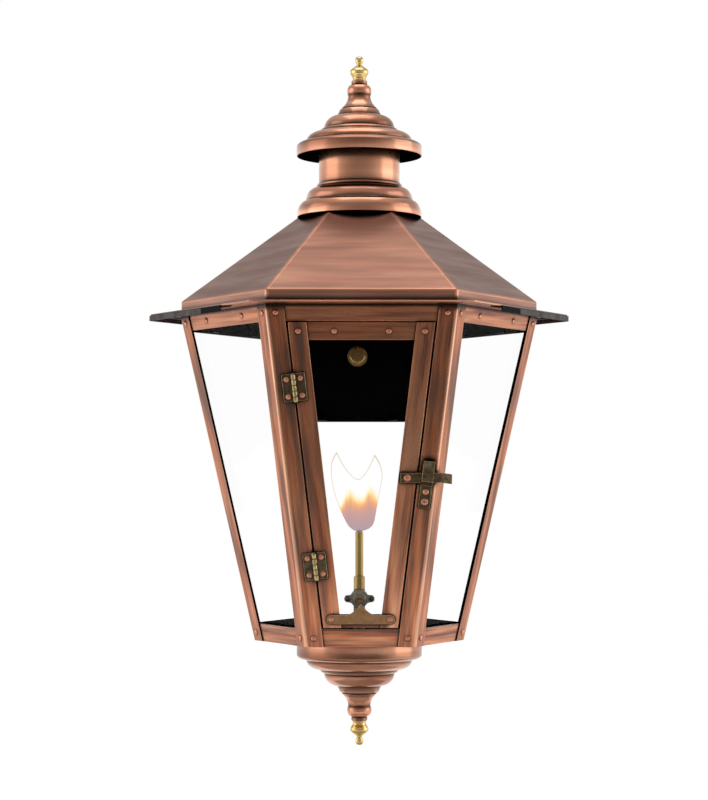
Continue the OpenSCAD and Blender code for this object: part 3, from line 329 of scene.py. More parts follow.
def shell_profile(band, plinth=21.5, waist=36, shoulder=53.5, rim=62.6, steps=37.5):
    """Plinth, four quarter rounds of which the second is small, and an upright band, hollow
    inside."""
    end = steps + band
    outer = np.concatenate([
        [[BORE, 0], [plinth - 2.3, 0], [plinth - 2, 0.3], [plinth + 0.4, 5.6], [plinth + 0.6, 6.2]],
        ovolo(plinth + 0.6, 6.4, waist - 0.8, 19, 20),
        ovolo(waist - 0.3, 19.1, waist + 3.4, 23, 8),
        ovolo(waist + 4.2, 23, shoulder - 0.6, 32, 18), ovolo(shoulder, 32.8, rim, steps, 12),
        arc(rim - 0.5, end - 0.5, 0.5, 0.5, 0, 90, 5)])
    inner = np.concatenate([
        arc(rim - 0.5, end - 0.5, 0.5, 0.5, 90, 180, 4),
        [[rim - WALL, steps + 1], [shoulder - 1.5, 34], [shoulder - 7, 27.6], [waist + 2.6, 24.4],
         [waist - 2, 20.6], [waist - 6, 13], [plinth - 1.2, 8.4], [plinth - 4, 1.5], [BORE, 1.5]]])
    return np.concatenate([outer, inner])


def collar_profile(foot=62.3, tube=TUBE_R, height=33.0, bead=4.0):
    """Two quarter-round steps and a bead against the tube, hollow below."""
    step_r, step_h = (foot + tube) / 2 + 2.6, height * 0.47
    top, neck = height - bead, tube + 0.05
    outer = np.concatenate([
        arc(foot - 0.5, 0.5, 0.5, 0.5, -90, 0, 5), quarter(foot, 0.8, step_r, step_h, 20),
        [[step_r - 0.4, step_h + 0.4]], quarter(step_r - 0.5, step_h + 0.7, tube + 2.6, top, 20),
        arc(tube + 0.9, top + bead / 2, 1.5, bead / 2, -80, 80, 12), [[tube + 0.6, height]]])
    inner = [[neck, height], [neck, top - 2], [tube + 7, step_h + 7.5], [step_r - 2, step_h],
             [step_r - 1, step_h - 2], [foot - 2.6, 6.5], [foot - WALL, 0.3]]
    return np.concatenate([outer, inner])


# %% Turn the pieces
def turned(node, profile, up, closed=True):
    """Carries a profile round the axis where its CAD node stands, from the node's foot upwards or
    from its top down: (r, h) in millimetres goes to radius r and height start + up * h, at AROUND
    angles."""
    low, high = span(node, 2)
    r, h = np.asarray(profile, float).T * MM
    a = np.linspace(0, 2 * np.pi, AROUND, endpoint=False)[:, None]
    height = (low if up > 0 else high) + up * h + 0 * a
    points = np.stack([AXIS[0] + r * np.cos(a), AXIS[1] + r * np.sin(a), height], -1)
    piece = skin("turned_" + node, points, "frame", around=True, across=closed,
                 fold=crease_marks(profile))
    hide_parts(node)
    return piece


finials = [turned("top_finial", finial_profile(), 1, closed=False),
           turned("bottom_finial", finial_profile(), -1, closed=False)]
spun_pieces = [turned("top_neck", neck_profile(), -1),
               turned("base_neck", neck_profile(), 1),
               turned("chimney_cap", shell_profile(9.1), -1),
               turned("base_dish", shell_profile(14.1), 1),
               turned("chimney_collar", collar_profile(), 1)]
tube_low, tube_high = (v / MM for v in span("chimney_tube", 2))
tube_long = tube_high - tube_low
tube = [[TUBE_R, 0], [TUBE_R, tube_long], [TUBE_R - WALL, tube_long], [TUBE_R - WALL, 0]]
spun_pieces.append(turned("chimney_tube", rounded(tube, 0.3), 1))
print("turned:", [p.name for p in finials + spun_pieces])

# %% [markdown]
# Smaller turned pieces don't share the lantern's axis. The cap nut is screwed on the stud that the
# lantern hangs from, square to the leaning back panel. The hinge knuckles are sheet rolled round
# a pin, and their line leans with the corner post, so that the door swings true.

# %% Nut and knuckles
KNUCKLE = 2.2 * MM
KNUCKLE_SKIN = 0.06 * MM
KNUCKLES = 5
LEAF_LONG, SAW_CUT = 26.5, 0.8
GAP = 2 * MM


def turned_about(name, profile, foot, way, body):
    """Carries a profile round a line: (r, h) goes to foot + h * way + r * (cos a * e + sin a * f),
    where e and f stand square on the unit vector way and on each other."""
    e = np.cross(way, [1.0, 0.0, 0.0])
    e /= np.linalg.norm(e)
    f = np.cross(way, e)
    r, h = (np.asarray(profile, float).T * MM)[..., None]
    a = np.linspace(0, 2 * np.pi, AROUND // 3, endpoint=False)[:, None, None]
    points = foot + h * way + r * (np.cos(a) * e + np.sin(a) * f)
    return skin(name, points, body, around=True, across=False, fold=crease_marks(profile))


stud_y = slope_of(0.0)
nut_foot = on_side(3, 0, stud_y, -2 * SHEET)
nut_way = on_side(3, 0, stud_y, -1.0) - on_side(3, 0, stud_y, 0.0)
nut_section = [[0, 6.5], [4.1, 6.5], [4.1, 0], [10.8, 0], [10.8, 4.4], [7.9, 8.6], [0, 8.95]]
nut_profile = rounded(nut_section, [0, 0.2, 0.2, 0.4, 0.9, 0.7, 0], closed=False)
nut = turned_about("turned_cap_nut", nut_profile, nut_foot, nut_way, "frame")
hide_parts("cap_nut")


def hinge_point(y):
    """Point of the hinge line, in the gap beside the door, at a distance up the front side."""
    return on_side(0, -(half_side(y) - LEG - GAP / 2), y, KNUCKLE)


def knuckle_set(level):
    """Knuckles of one hinge, in turn the post leaf's and the door leaf's, around its middle."""
    low, high = span(level + "_post_leaf", 2)
    y = ((low + high) / 2 - FOOT_Z + KNUCKLE * np.sin(LEAN)) / np.cos(LEAN)
    way = hinge_point(y + MM) - hinge_point(y)
    way /= np.linalg.norm(way)
    pitch = LEAF_LONG / KNUCKLES
    r, long = (KNUCKLE + KNUCKLE_SKIN) / MM, pitch - SAW_CUT
    profile = rounded([[0, 0], [r, 0], [r, long], [0, long]], [0, 0.35, 0.35, 0], closed=False)
    for k in range(KNUCKLES):
        foot = hinge_point(y) + way * ((k - KNUCKLES / 2) * pitch + SAW_CUT / 2) * MM
        body = "door" if k % 2 else "frame"
        yield turned_about(f"{level}_knuckle_{k + 1}", profile, foot, way, body)


knuckles = [*knuckle_set("upper"), *knuckle_set("lower")]
print("nut and knuckles:", nut.name, len(knuckles))

# %% [markdown]
# ## Folded sheet
#
# The posts are strips folded along their length, and a fold is never sharp: its outside has a
# radius of about the sheet's thickness, which catches a bright line of light. The finish also
# paints a highlight along it. Each post is therefore its V-shaped section, rounded at the fold
# and at the cut edges, carried from foot to head while the six corners move apart.

# %% Posts
FOLD = 1.7 * MM
CUT = 0.3 * MM


def level_way(angle):
    """Unit vector in a level plane."""
    return np.array([np.cos(angle), np.sin(angle)])


def post_section(corner):
    """Outline of a post in a level plane, measured from the frame's corner point: two legs that run
    60 degrees either side of the way in, one sheet thick."""
    out = np.radians(60 * corner - 60)
    legs = [level_way(out + np.pi + s * np.pi / 3) for s in (1, -1)]
    inner = [level_way(out + np.pi - s * np.pi / 6) for s in (1, -1)]
    thick = SHEET / np.cos(LEAN)
    fold = level_way(out + np.pi) * thick / FLAT
    ends = [legs[0] * LEG, np.zeros(2), legs[1] * LEG, legs[1] * LEG + inner[1] * thick, fold,
            legs[0] * LEG + inner[0] * thick]
    radii = np.array([CUT, FOLD, CUT, CUT, FOLD / 2, CUT])
    # The marks paint the rub colour on the fold and the outer cut edges: worn film and a painted
    # highlight.
    section, marks = creased(ends, radii, [0.3, 1, 0.3, 0, 0, 0], steps=6)
    return section, marks, level_way(out)


def post(node, corner):
    """Point = axis + corner radius at this height * outward direction + the section's point."""
    section, marks, out = post_section(corner)
    z = np.linspace(FOOT_Z, HEAD_Z, 25)[:, None]
    level = AXIS[:2] + corner_radius(z)[..., None] * out + section
    points = np.concatenate([level, np.broadcast_to(z[..., None], level.shape[:2] + (1,))], 2)
    piece = skin("folded_" + node, points, "frame", capped=True, fold=marks)
    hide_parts(node)
    return piece


POSTS = ["front_right", "right", "back_right", "back_left", "left", "front_left"]
posts = [post("post_" + name, corner) for corner, name in enumerate(POSTS)]
print("folded:", [p.name for p in posts])

# %% [markdown]
# Roof and deck run all the way round. Each is a section in the plane of a corner, carried round
# a hexagon whose corners are rounded like a fold.

# %% Six-sided rings


def hexed(node, profile, fold):
    """Carries a closed section round the hexagon: a section point (R, z) becomes the outline with
    corners at radius R and height z, its corners rounded by fold. profile is points and marks."""
    turn = np.arange(SIDES) * 2 * np.pi / SIDES
    star = np.stack([np.cos(turn), np.sin(turn)], 1)
    outline, marks = profile
    rings = [creased(star * r, fold, 1, steps=6) for r, z in outline]
    levels = [np.column_stack([ring + AXIS[:2], np.full(len(ring), z)])
              for (ring, _), (_, z) in zip(rings, outline)]
    # The marks paint the rub colour on the corners' folds and the section's edges: wear and a painted
    # highlight.
    wear_and_highlight = np.maximum(rings[0][1][:, None], marks[None, :])
    piece = skin("folded_" + node, np.stack(levels, 1), "frame", around=True,
                 fold=wear_and_highlight)
    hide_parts(node)
    return piece


def roof_profile():
    """Skirt, slope and top edge, the same one sheet further in, and a flange on the deck."""
    low, high = span("roof", 2)
    eave = span("roof", 0)[1]
    rise, skirt, thick, hole, flange = 0.7233, 12.5 * MM, 1 * MM, 52 * MM, 12 * MM
    pitch = np.arctan(rise / FLAT)
    drop = thick / np.cos(pitch)
    outer = [[eave, low], [eave, low + skirt], [hole, high]]
    inner = [[hole - thick / np.sin(pitch) / FLAT, high],
             [eave - thick / FLAT, low + skirt + thick * np.tan(pitch) - drop],
             [eave - thick / FLAT, low + thick], [eave - flange, low + thick], [eave - flange, low]]
    radii = np.array([0.3, 1.1, 0.3, 0.3, 0.5, 0.3, 0.3, 0.3]) * MM
    return creased(outer + inner, radii, [0.5, 1, 0, 0, 0, 0, 0, 0])


def flat_ring(node, inner_r, cut=0.35 * MM):
    """A level six-sided ring with softened edges."""
    low, high = span(node, 2)
    outer_r = span(node, 0)[1]
    section = [[outer_r, low], [outer_r, high], [inner_r, high], [inner_r, low]]
    return creased(section, cut, [1, 1, 0, 0])


DECK_HOLE = 150 * MM
folded = [hexed("roof", roof_profile(), 2.0 * MM),
          hexed("deck_plate", flat_ring("deck_plate", DECK_HOLE), 1.2 * MM)]
print("folded rings:", [p.name for p in folded])

# %% [markdown]
# ## The flame
#
# Gas that leaves a slit burns as a thin fan, called a fishtail: narrow at the tip, widest near the
# top, and torn into two tongues. A fan is a lens-shaped tube that opens upwards, so the mesh is a
# flat ellipse whose two edges follow two curves, and whose top runs down from each tongue to the
# notch between them.

# %% Flame
FLAME_FOOT = span("burner_tip", 2)[1] - 1.2 * MM
LEFT_EDGE = np.array([
    [-5.3, 0], [-10.2, 3.5], [-13.7, 9.1], [-17.3, 16.8], [-20.8, 25.2], [-24.3, 35.0],
    [-27.1, 46.3], [-28.5, 57.5], [-28.2, 67.3], [-26.0, 73.6], [-22.6, 78.8]])
RIGHT_EDGE = np.array([
    [5.2, 0], [10.8, 2.1], [14.6, 7.0], [16.1, 14.0], [17.8, 25.2], [20.3, 37.9],
    [22.7, 49.0], [23.4, 58.2], [21.3, 65.9], [18.5, 71.5], [15.3, 76.4]])
NOTCH = np.array([-1.1, 51.2])
TONGUES = [(-10, 5.5, 5), (11, 8.5, 4.5), (-21, -9, 5)]
ORANGE_END = 29
FLAME_THICK = 4.6
FLAME_RIM = 0.7


def along(curve, t):
    """Point at a share t of a curve's length, with straight steps between close points."""
    share = np.concatenate([[0], np.cumsum(np.linalg.norm(np.diff(curve, axis=0), axis=1))])
    return np.stack([np.interp(t * share[-1], share, curve[:, k]) for k in (0, 1)], -1)


def flame_heat(x, z):
    """1 where the orange zone ends: z over ORANGE_END plus a bump for each tongue, which is
    height * exp(-((x - middle) / width)^2)."""
    end = ORANGE_END + sum(tall * np.exp(-(((x - mid) / wide) ** 2)) for mid, tall, wide in TONGUES)
    return z / end


def fishtail(rings=96, columns=72):
    """With s = cos a across and t up: x and z run from the middle line to the left or right edge by
    |s|, z sags towards the notch by |s|^1.7, and y = thickness * sin a, thinning out upwards. Two
    attributes colour it: fold, the distance to the outline in rim widths, and warmth, which is
    flame_heat."""
    t = 1 - (1 - np.linspace(0, 1, rings)[None, :, None]) ** 1.5
    a = np.linspace(0, 2 * np.pi, columns, endpoint=False)[:, None, None]
    s = np.cos(a)
    left, right = (along(smooth_curve(curve), t[..., 0]) for curve in (LEFT_EDGE, RIGHT_EDGE))
    edge = np.where(s < 0, left, right)
    centre = np.concatenate([NOTCH[0] * t, NOTCH[1] * t], -1)
    x = centre[..., :1] + (edge[..., :1] - centre[..., :1]) * abs(s)
    sag = abs(s) + t * (abs(s) ** 1.7 - abs(s))
    z = centre[..., 1:] + (edge[..., 1:] - centre[..., 1:]) * sag
    y = FLAME_THICK * np.sin(a) * (1 - 0.85 * t) * np.minimum(1, 0.35 + 4 * t)
    points = np.concatenate([x, y, z], -1) * MM + AXIS + [0, 0, FLAME_FOOT]
    inside = np.minimum((1 - abs(s)) * abs(edge[..., :1] - centre[..., :1]), (1 - t) * NOTCH[1])
    rim = (inside / FLAME_RIM)[..., 0]
    piece = skin("flame", points, "frame", around=True, across=False, fold=rim)
    heat = piece.data.attributes.new("warmth", "FLOAT", "POINT")
    spots = np.empty(3 * len(piece.data.vertices), np.float32)
    piece.data.vertices.foreach_get("co", spots)
    spots = (spots.reshape(-1, 3) - AXIS - [0, 0, FLAME_FOOT]) / MM
    heat.data.foreach_set("value", flame_heat(spots[:, 0], spots[:, 2]).astype(np.float32))
    return piece


flame = fishtail()
print("flame:", [round(1000 * v) for v in flame.dimensions], "mm")

# %% [markdown]
# ## Finishes
#
# Every colour below is the sRGB value that a picture shows, turned to the linear numbers that
# a renderer adds up. One function adds a node, and each finish is a small tree of such nodes.

# %% Colour and nodes


def hex_colour(code):
    """'#rrggbb' to linear: c/12.92 for c up to 0.04045, and ((c + 0.055) / 1.055)^2.4 above."""
    c = np.array([int(code[k:k + 2], 16) for k in (1, 3, 5)]) / 255
    linear = np.where(c <= 0.04045, c / 12.92, ((c + 0.055) / 1.055) ** 2.4)
    return (*linear.tolist(), 1.0)


def add(tree, kind, inputs=(), stops=(), **settings):
    """Adds a node, sets its properties and fills its inputs, given by name or in order: a MapRange
    takes the value, the range it comes from and the range it goes to. A socket or a node's first
    output is linked, '#rrggbb' is stored as a colour, and anything else as it is. stops are
    a colour ramp's (place, '#rrggbb') pairs."""
    node = tree.nodes.new("ShaderNode" + kind)
    for key, value in settings.items():
        setattr(node, key, value)
    for key, value in inputs.items() if isinstance(inputs, dict) else enumerate(inputs):
        if isinstance(value, bpy.types.Node):
            value = value.outputs[0]
        if isinstance(value, bpy.types.NodeSocket):
            tree.links.new(value, node.inputs[key])
        else:
            node.inputs[key].default_value = hex_colour(value) if isinstance(value, str) else value
    for k, (place, code) in enumerate(stops):
        knot = node.color_ramp.elements[k] if k < 2 else node.color_ramp.elements.new(place)
        knot.position, knot.color = place, hex_colour(code)
    return node


def new_finish(name):
    """A node material and its tree, with no node in it."""
    material = bpy.data.materials.new(name)
    material.use_nodes = True
    material.node_tree.nodes.clear()
    return material, material.node_tree


def painted(tree, colour, *layers):
    """Paints layers over a colour, each a mask and a colour of its own, the last one on top."""
    for mask, paint in layers:
        colour = add(tree, "Mix", {0: mask, 6: colour, 7: paint}, data_type="RGBA").outputs[2]
    return colour


# %% [markdown]
# ### Antiqued copper
#
# The sheet is copper that was blackened in a bath, brushed back by hand and waxed. The brush leaves
# fine lines, about a millimetre apart at this picture's scale, where pink metal shows through
# a brown film. The film stays dark where the brush can't reach, round rivets and in laps, and is
# rubbed away on every fold and edge. That dark is also painted shade, as is the dark band at the
# foot of each turned step, and the pale rub on folds and edges is also a painted highlight. Three
# masks say where: stretched noise for the lines, ambient occlusion for the hollows, and the Bevel
# node, whose normal leaves the true one only near an edge. Real brush lines are finer than
# a pixel, so these are drawn coarser. A fourth mask blackens the faces that look at the flame, as
# soot and as painted shade inside the lantern: soot is no metal, so they lose their shine too.

# %% Antiqued copper
LINE = 1.0 * MM
STROKE = 60 * MM
CLOUD = 110 * MM
HOLLOW = 8 * MM
EDGE = 1.1 * MM
# Soot and painted shade: the black of the faces that look at the lantern's axis.
SOOT_AND_SHADE = "#0d0807"
# Painted shade with patina: the dark of hollows, laps and the foot of each turned step.
TARNISH_AND_SHADE = "#1b0f0b"


def stretched_noise(tree, where, size, share, detail=3.0, roughness=0.6):
    """Noise of a size along each axis, in metres; share scales the sizes along x, y and z."""
    place = add(tree, "Mapping", {"Vector": where, "Scale": [1 / (size * s) for s in share]})
    return add(tree, "TexNoise", {"Vector": place, "Scale": 1.0, "Detail": detail,
                                  "Roughness": roughness})


def turned_to(tree, where, way):
    """Coordinates whose z runs along a unit vector: products with it and with two square to it."""
    level = np.cross(way, [0.0, 1.0, 0.0])
    level /= np.linalg.norm(level)
    parts = [add(tree, "VectorMath", (where, axis.tolist()), operation="DOT_PRODUCT")
             for axis in (level, np.cross(way, level), way)]
    return add(tree, "CombineXYZ", [part.outputs["Value"] for part in parts])


def inward(tree):
    """1 on faces that look at the lantern's axis and 0 on faces that look away from it, from the
    level way out from the axis and the face's normal: their product is below or above 0."""
    where, normal = add(tree, "TexCoord"), add(tree, "NewGeometry").outputs["Normal"]
    spot = add(tree, "VectorMath", (where.outputs["Object"], AXIS.tolist()), operation="SUBTRACT")
    level = add(tree, "VectorMath", (spot, (1, 1, 0)), operation="MULTIPLY")
    way = add(tree, "VectorMath", [level], operation="NORMALIZE")
    facing = add(tree, "VectorMath", (way, normal), operation="DOT_PRODUCT").outputs["Value"]
    return add(tree, "MapRange", (facing, -0.12, -0.3))


def edge_wear_and_highlight(tree, radius):
    """The Bevel node, and a mask that is 1 on edges, where its normal leaves the true one: the
    finishes paint wear and a highlight there.
    """
    bevel = add(tree, "Bevel", {"Radius": radius}, samples=4)
    true = add(tree, "NewGeometry").outputs["Normal"]
    bend = add(tree, "VectorMath", (bevel, true), operation="DOT_PRODUCT").outputs["Value"]
    return bevel, add(tree, "MapRange", (bend, 0.99, 0.86))


def hollows(tree, reach, strength, shut=0.35, free=0.95):
    """A mask that grows to a strength where other surfaces stand close in front of this one: from
    where a share free of the view is open to where only a share shut is."""
    near = add(tree, "AmbientOcclusion", {"Distance": reach}, samples=8).outputs["AO"]
    return add(tree, "MapRange", (near, shut, free, strength, 0.0))


def antiqued_copper(name, source, share, dark="#7f4c3a", mid="#c67a56", light="#e2986f",
                    slate="#6f594e", rub_and_highlight="#f5bd9b", rough=(0.25, 0.36), contrast=0.36,
                    stained=0.9, coat=0.25, folds="", way=None, reach=HOLLOW):
    """source is the coordinates' output, UV or Object. share is how far the pattern stretches along
    x, y and z: 1 along the brush strokes, less across them. folds names a mesh attribute that is
    positive on folds and edges, where the film is rubbed off and a highlight is painted, and
    negative in grooves, where shade is painted. A way turns the coordinates so that z runs along
    it, for a strip that leans."""
    material, tree = new_finish(name)
    where = add(tree, "TexCoord").outputs[source]
    if way is not None:
        where = turned_to(tree, where, way)
    thin = [1 if s == 1 else LINE / STROKE for s in share]
    lines = stretched_noise(tree, where, STROKE, thin, 2.0)
    broad = stretched_noise(tree, where, CLOUD, share, 2.5, 0.5)
    patch = stretched_noise(tree, where, 0.6 * CLOUD, [s * 1.1 for s in share], 1.0, 0.4)
    fine = add(tree, "Math", (lines, contrast, -contrast / 2), operation="MULTIPLY_ADD")
    tone = add(tree, "Math", (broad, fine), operation="ADD")
    film = add(tree, "ValToRGB", {"Fac": tone}, stops=[(0.33, dark), (0.5, mid), (0.66, light)])
    stain = add(tree, "MapRange", (patch, 0.45, 0.7, 0.0, stained))
    # Painted shade and patina: ambient occlusion darkens hollows, laps and the copper round rivets.
    sunk = hollows(tree, reach, 0.95, 0.82, 0.98)
    bevel, edge = edge_wear_and_highlight(tree, EDGE)
    edge = add(tree, "Math", (edge, 0.7), operation="MULTIPLY")
    if folds:
        fold = add(tree, "Attribute", attribute_name=folds).outputs["Fac"]
        edge = add(tree, "Math", (edge, fold), operation="MAXIMUM")
        # Painted shade: the groove mark darkens the foot of each turned step.
        groove = add(tree, "Math", (fold, -0.92), operation="MULTIPLY")
        sunk = add(tree, "Math", (sunk, groove), operation="MAXIMUM")
    patchy = add(tree, "MapRange", (patch, 0.3, 0.6, 0.9, 0.5))
    open_air = add(tree, "MapRange", (sunk, 0.0, 0.45, 1.0, 0.0))
    # Painted highlight and wear: folds and edges take the rub colour where the film is open.
    worn_and_lit = add(tree, "Math", (edge, patchy), operation="MULTIPLY")
    worn_and_lit = add(tree, "Math", (worn_and_lit, open_air), operation="MULTIPLY")
    # Soot and painted shade: faces that look at the axis turn black and lose their shine.
    inner = inward(tree)
    colour = painted(tree, film, (stain, slate), (sunk, TARNISH_AND_SHADE), (worn_and_lit, rub_and_highlight), (inner, SOOT_AND_SHADE))
    gloss = add(tree, "MapRange", (tone, 0.35, 0.65, rough[1], rough[0]))
    dull = add(tree, "Math", (inner, 0.9), operation="MULTIPLY")
    gloss = add(tree, "Math", (gloss, dull), operation="MAXIMUM")
    bump = add(tree, "Bump", {"Height": lines, "Strength": 0.3, "Distance": 0.02 * MM,
                              "Normal": bevel})
    bare = add(tree, "Math", (1.0, inner), operation="SUBTRACT")
    wax = add(tree, "Math", (bare, coat), operation="MULTIPLY")
    specular = add(tree, "Math", (bare, 0.5), operation="MULTIPLY")
    surface = add(tree, "BsdfPrincipled", {
        "Base Color": colour, "Metallic": bare, "Roughness": gloss, "Normal": bump,
        "Coat Weight": wax, "Coat Roughness": 0.2, "Specular IOR Level": specular})
    add(tree, "OutputMaterial", {"Surface": surface})
    return material


COPPER_SKIN = antiqued_copper("antiqued_copper_brushed", "UV", (1, 0.09, 1), folds="fold")
COPPER_SPUN = antiqued_copper("antiqued_copper_spun", "UV", (1, 0.1, 1), "#bb795b", "#db9877",
                              "#efb292", "#ab8270", rough=(0.17, 0.25), contrast=0.2,
                              stained=0.4, reach=3 * MM, folds="fold")
COPPER_TUBE = antiqued_copper("bare_copper_tube", "UV", (1, 0.2, 1), "#b97c5d", "#c98c6c",
                              "#d89c7c", "#b48872", rough=(0.2, 0.28), contrast=0.15, stained=0.3)
COPPER_ROOF = antiqued_copper("antiqued_copper_roof", "Object", (1, 1, 0.08), "#8d6150",
                              "#9a6c5a", "#a97863", "#7c6256", rub_and_highlight="#d8987a", rough=(0.28, 0.38),
                              contrast=0.12, stained=0.3, coat=0.05, folds="fold")
COPPER_LEVEL = antiqued_copper("antiqued_copper_level_strokes", "Object", (1, 1, 0.055),
                               stained=0.6)
COPPER_HOOP = antiqued_copper("antiqued_copper_hoop", "Object", (1, 1, 0.055), "#955c46",
                              "#d68a64", stained=0.5, reach=4 * MM)
COPPER_UPRIGHT = antiqued_copper("antiqued_copper_upright_strokes", "Object", (0.1, 0.1, 1))


def stile_way(side):
    """Unit vector up a stile of the door: the front side's corner line, left (-1) or right (1)."""
    way = on_side(0, side * half_side(1.0), 1.0, 0) - on_side(0, side * half_side(0.0), 0.0, 0)
    return way / np.linalg.norm(way)


# The right stile's colours are lighter than the left's: painted light, as more light falls on it from
# the right.
STILES = {"left": (-1, "#c67a56", "#e2986f", 0.8), "right": (1, "#dd9169", "#f0ad86", 0.4)}
COPPER_STILES = [antiqued_copper("antiqued_copper_stile_" + name, "Object", (0.11, 0.11, 1),
                                 mid=mid, light=light, stained=stained, way=stile_way(side))
                 for name, (side, mid, light, stained) in STILES.items()]
print("copper finishes:", [m.name for m in bpy.data.materials if "copper" in m.name])

# %% [markdown]
# ### Other metals
#
# Brass shows in three states: polished on the finials and the cap nut, drawn and left bright on
# the burner, and darkened with worn edges on hinges, latch and badge. The valve is a sand casting
# in gunmetal, so it has a grain. Rivets are bare copper whose heads were rubbed bright. Each metal
# is darker in its hollows, as grime and painted shade, and its rub on the edges is also a painted
# highlight.

# %% Metals
# Painted shade with grime: the colour that ambient occlusion lays into hollows and round rivets.
GRIME_AND_SHADE = "#120c0a"
GRIME_AND_SHADE_REACH = 2.5 * MM


def metal(name, dark, light, rough, grain=3 * MM, bump=0.0, rub_and_highlight=None, share=(1, 1, 1),
          metallic=1.0, edge=0.6 * MM, hollow=0.85, specular=0.5, sooty_and_shaded=False):
    """A cast, turned or drawn metal: noise of a grain's size mixes two colours, hollows darken with
    grime and painted shade, and a rub colour, if there is one, shows on the edges as wear and
    a painted highlight. share lengthens the grain along an axis, and a sooty metal is black on the
    faces that look at the flame, as soot and painted shade."""
    material, tree = new_finish(name)
    noise = stretched_noise(tree, add(tree, "TexCoord").outputs["Object"], grain, share, 4.0)
    colour = add(tree, "ValToRGB", {"Fac": noise}, stops=[(0.34, dark), (0.66, light)])
    layers = [(hollows(tree, GRIME_AND_SHADE_REACH, hollow), GRIME_AND_SHADE)]
    normal, wear_and_highlight = edge_wear_and_highlight(tree, edge)
    if rub_and_highlight:
        layers.append((wear_and_highlight, rub_and_highlight))
    if sooty_and_shaded:
        layers.append((inward(tree), SOOT_AND_SHADE))
    gloss = add(tree, "MapRange", (noise, 0.3, 0.7, rough + 0.06, rough - 0.04))
    if bump:
        normal = add(tree, "Bump", {"Height": noise, "Strength": 0.6, "Distance": bump,
                                    "Normal": normal})
    surface = add(tree, "BsdfPrincipled", {
        "Base Color": painted(tree, colour, *layers), "Metallic": metallic, "Roughness": gloss,
        "Normal": normal, "Specular IOR Level": specular})
    add(tree, "OutputMaterial", {"Surface": surface})
    return material


POLISHED_BRASS = metal("polished_brass", "#d3ab60", "#f2d69a", 0.15, 6 * MM, rub_and_highlight="#fcedc4")
NUT_BRASS = metal("waxed_brass", "#c99b58", "#dfb978", 0.24, 5 * MM, rub_and_highlight="#f3dfa8",
                  edge=0.9 * MM, metallic=0.55, hollow=0.3)
DRAWN_BRASS = metal("drawn_brass", "#bd9a55", "#dcbe80", 0.4, 2 * MM, share=(0.7, 0.7, 30),
                    rub_and_highlight="#ecd9a4", metallic=0.7)
DARK_BRASS = metal("darkened_brass", "#4a3d2e", "#75644c", 0.34, 4 * MM, rub_and_highlight="#cdb888",
                   edge=0.9 * MM, hollow=0.7)
KNUCKLE_BRASS = metal("worn_brass", "#8f7b50", "#e0cd96", 0.3, 2.5 * MM, rub_and_highlight="#f0dfac", hollow=0.9)
BADGE_BRASS = metal("tan_brass", "#8f6a49", "#a07b58", 0.36, 5 * MM, rub_and_highlight="#d9bb8e", edge=0.9 * MM)
RIVET_COPPER = metal("rubbed_copper", "#c0795a", "#e3a080", 0.34, 2 * MM, rub_and_highlight="#f0b594",
                     hollow=0.5, sooty_and_shaded=True)
TUBE_COPPER = metal("drawn_copper", "#8c5740", "#c1866a", 0.3, share=(1, 1, 6))
GUNMETAL = metal("cast_gunmetal", "#55504a", "#847d74", 0.42, 0.9 * MM, 0.06 * MM, "#a09a90")
GUNMETAL_FACE = metal("machined_gunmetal", "#a39b8d", "#cfc8ba", 0.38, 1.2 * MM, rub_and_highlight="#dbd4c6",
                      hollow=0.6)
STEEL = metal("zinc_plated_steel", "#8b8f92", "#b9bcbd", 0.34, rub_and_highlight="#dcdedf")
GUARD_ZINC = metal("weathered_zinc", "#3b3836", "#555150", 0.6, 14 * MM, metallic=0.5)
END_RUBBER = metal("black_rubber", "#050505", "#0a0909", 0.7, 2 * MM, metallic=0.0, specular=0.1)
SOOTY_COPPER = metal("sooted_copper", "#120b09", "#1d120e", 0.5, 9 * MM, hollow=0.9)
PANEL_BLACK = metal("black_stove_paint", "#040305", "#070609", 0.62, 0.8 * MM, metallic=0.0,
                    specular=0.05)
print("finishes:", len(bpy.data.materials))

# %% [markdown]
# ### Glass, ceramic and flame
#
# Window glass barely shows: light goes straight through and a little glances off. A thin pane
# doesn't shift what is behind it, so it is a clear shader mixed with a mirror by Fresnel's law.
# Only a small share of that mirror is kept, because the photograph's panes mirror nothing. The
# flame gives light and lets a little through: violet at its root where the gas is still unburnt,
# orange, then yellow-white in its body, with a thin amber outline. The burner's tip is unglazed
# ceramic, which scatters light evenly from a fine grit.

# %% Glass, ceramic and flame
MIRROR_SHARE = 0.015
GRIT = 0.6 * MM
STREAK = 22 * MM
FLAME_SHARE = 0.8


def pane_glass():
    """Clear glass, too thin to tint what is behind it."""
    material, tree = new_finish("window_glass")
    clear = add(tree, "BsdfTransparent", {"Color": "#ffffff"})
    mirror = add(tree, "BsdfGlossy", {"Color": "#ffffff", "Roughness": 0.03})
    fresnel = add(tree, "Fresnel", {"IOR": 1.45})
    share = add(tree, "Math", (fresnel, MIRROR_SHARE), operation="MULTIPLY")
    mixed = add(tree, "MixShader", (share, clear, mirror))
    add(tree, "OutputMaterial", {"Surface": mixed})
    return material


def steatite():
    """The burner's tip: unglazed ceramic with a fine grit."""
    material, tree = new_finish("steatite_ceramic")
    where = add(tree, "TexCoord").outputs["Object"]
    grit = add(tree, "TexNoise", {"Vector": where, "Scale": 1 / GRIT, "Detail": 3.0})
    tone = add(tree, "ValToRGB", {"Fac": grit}, stops=[(0.3, "#cfc4b0"), (0.7, "#efe8da")])
    bump = add(tree, "Bump", {"Height": grit, "Strength": 0.3, "Distance": 0.05 * MM})
    surface = add(tree, "BsdfPrincipled", {"Base Color": tone, "Roughness": 0.75, "Normal": bump})
    add(tree, "OutputMaterial", {"Surface": surface})
    return material


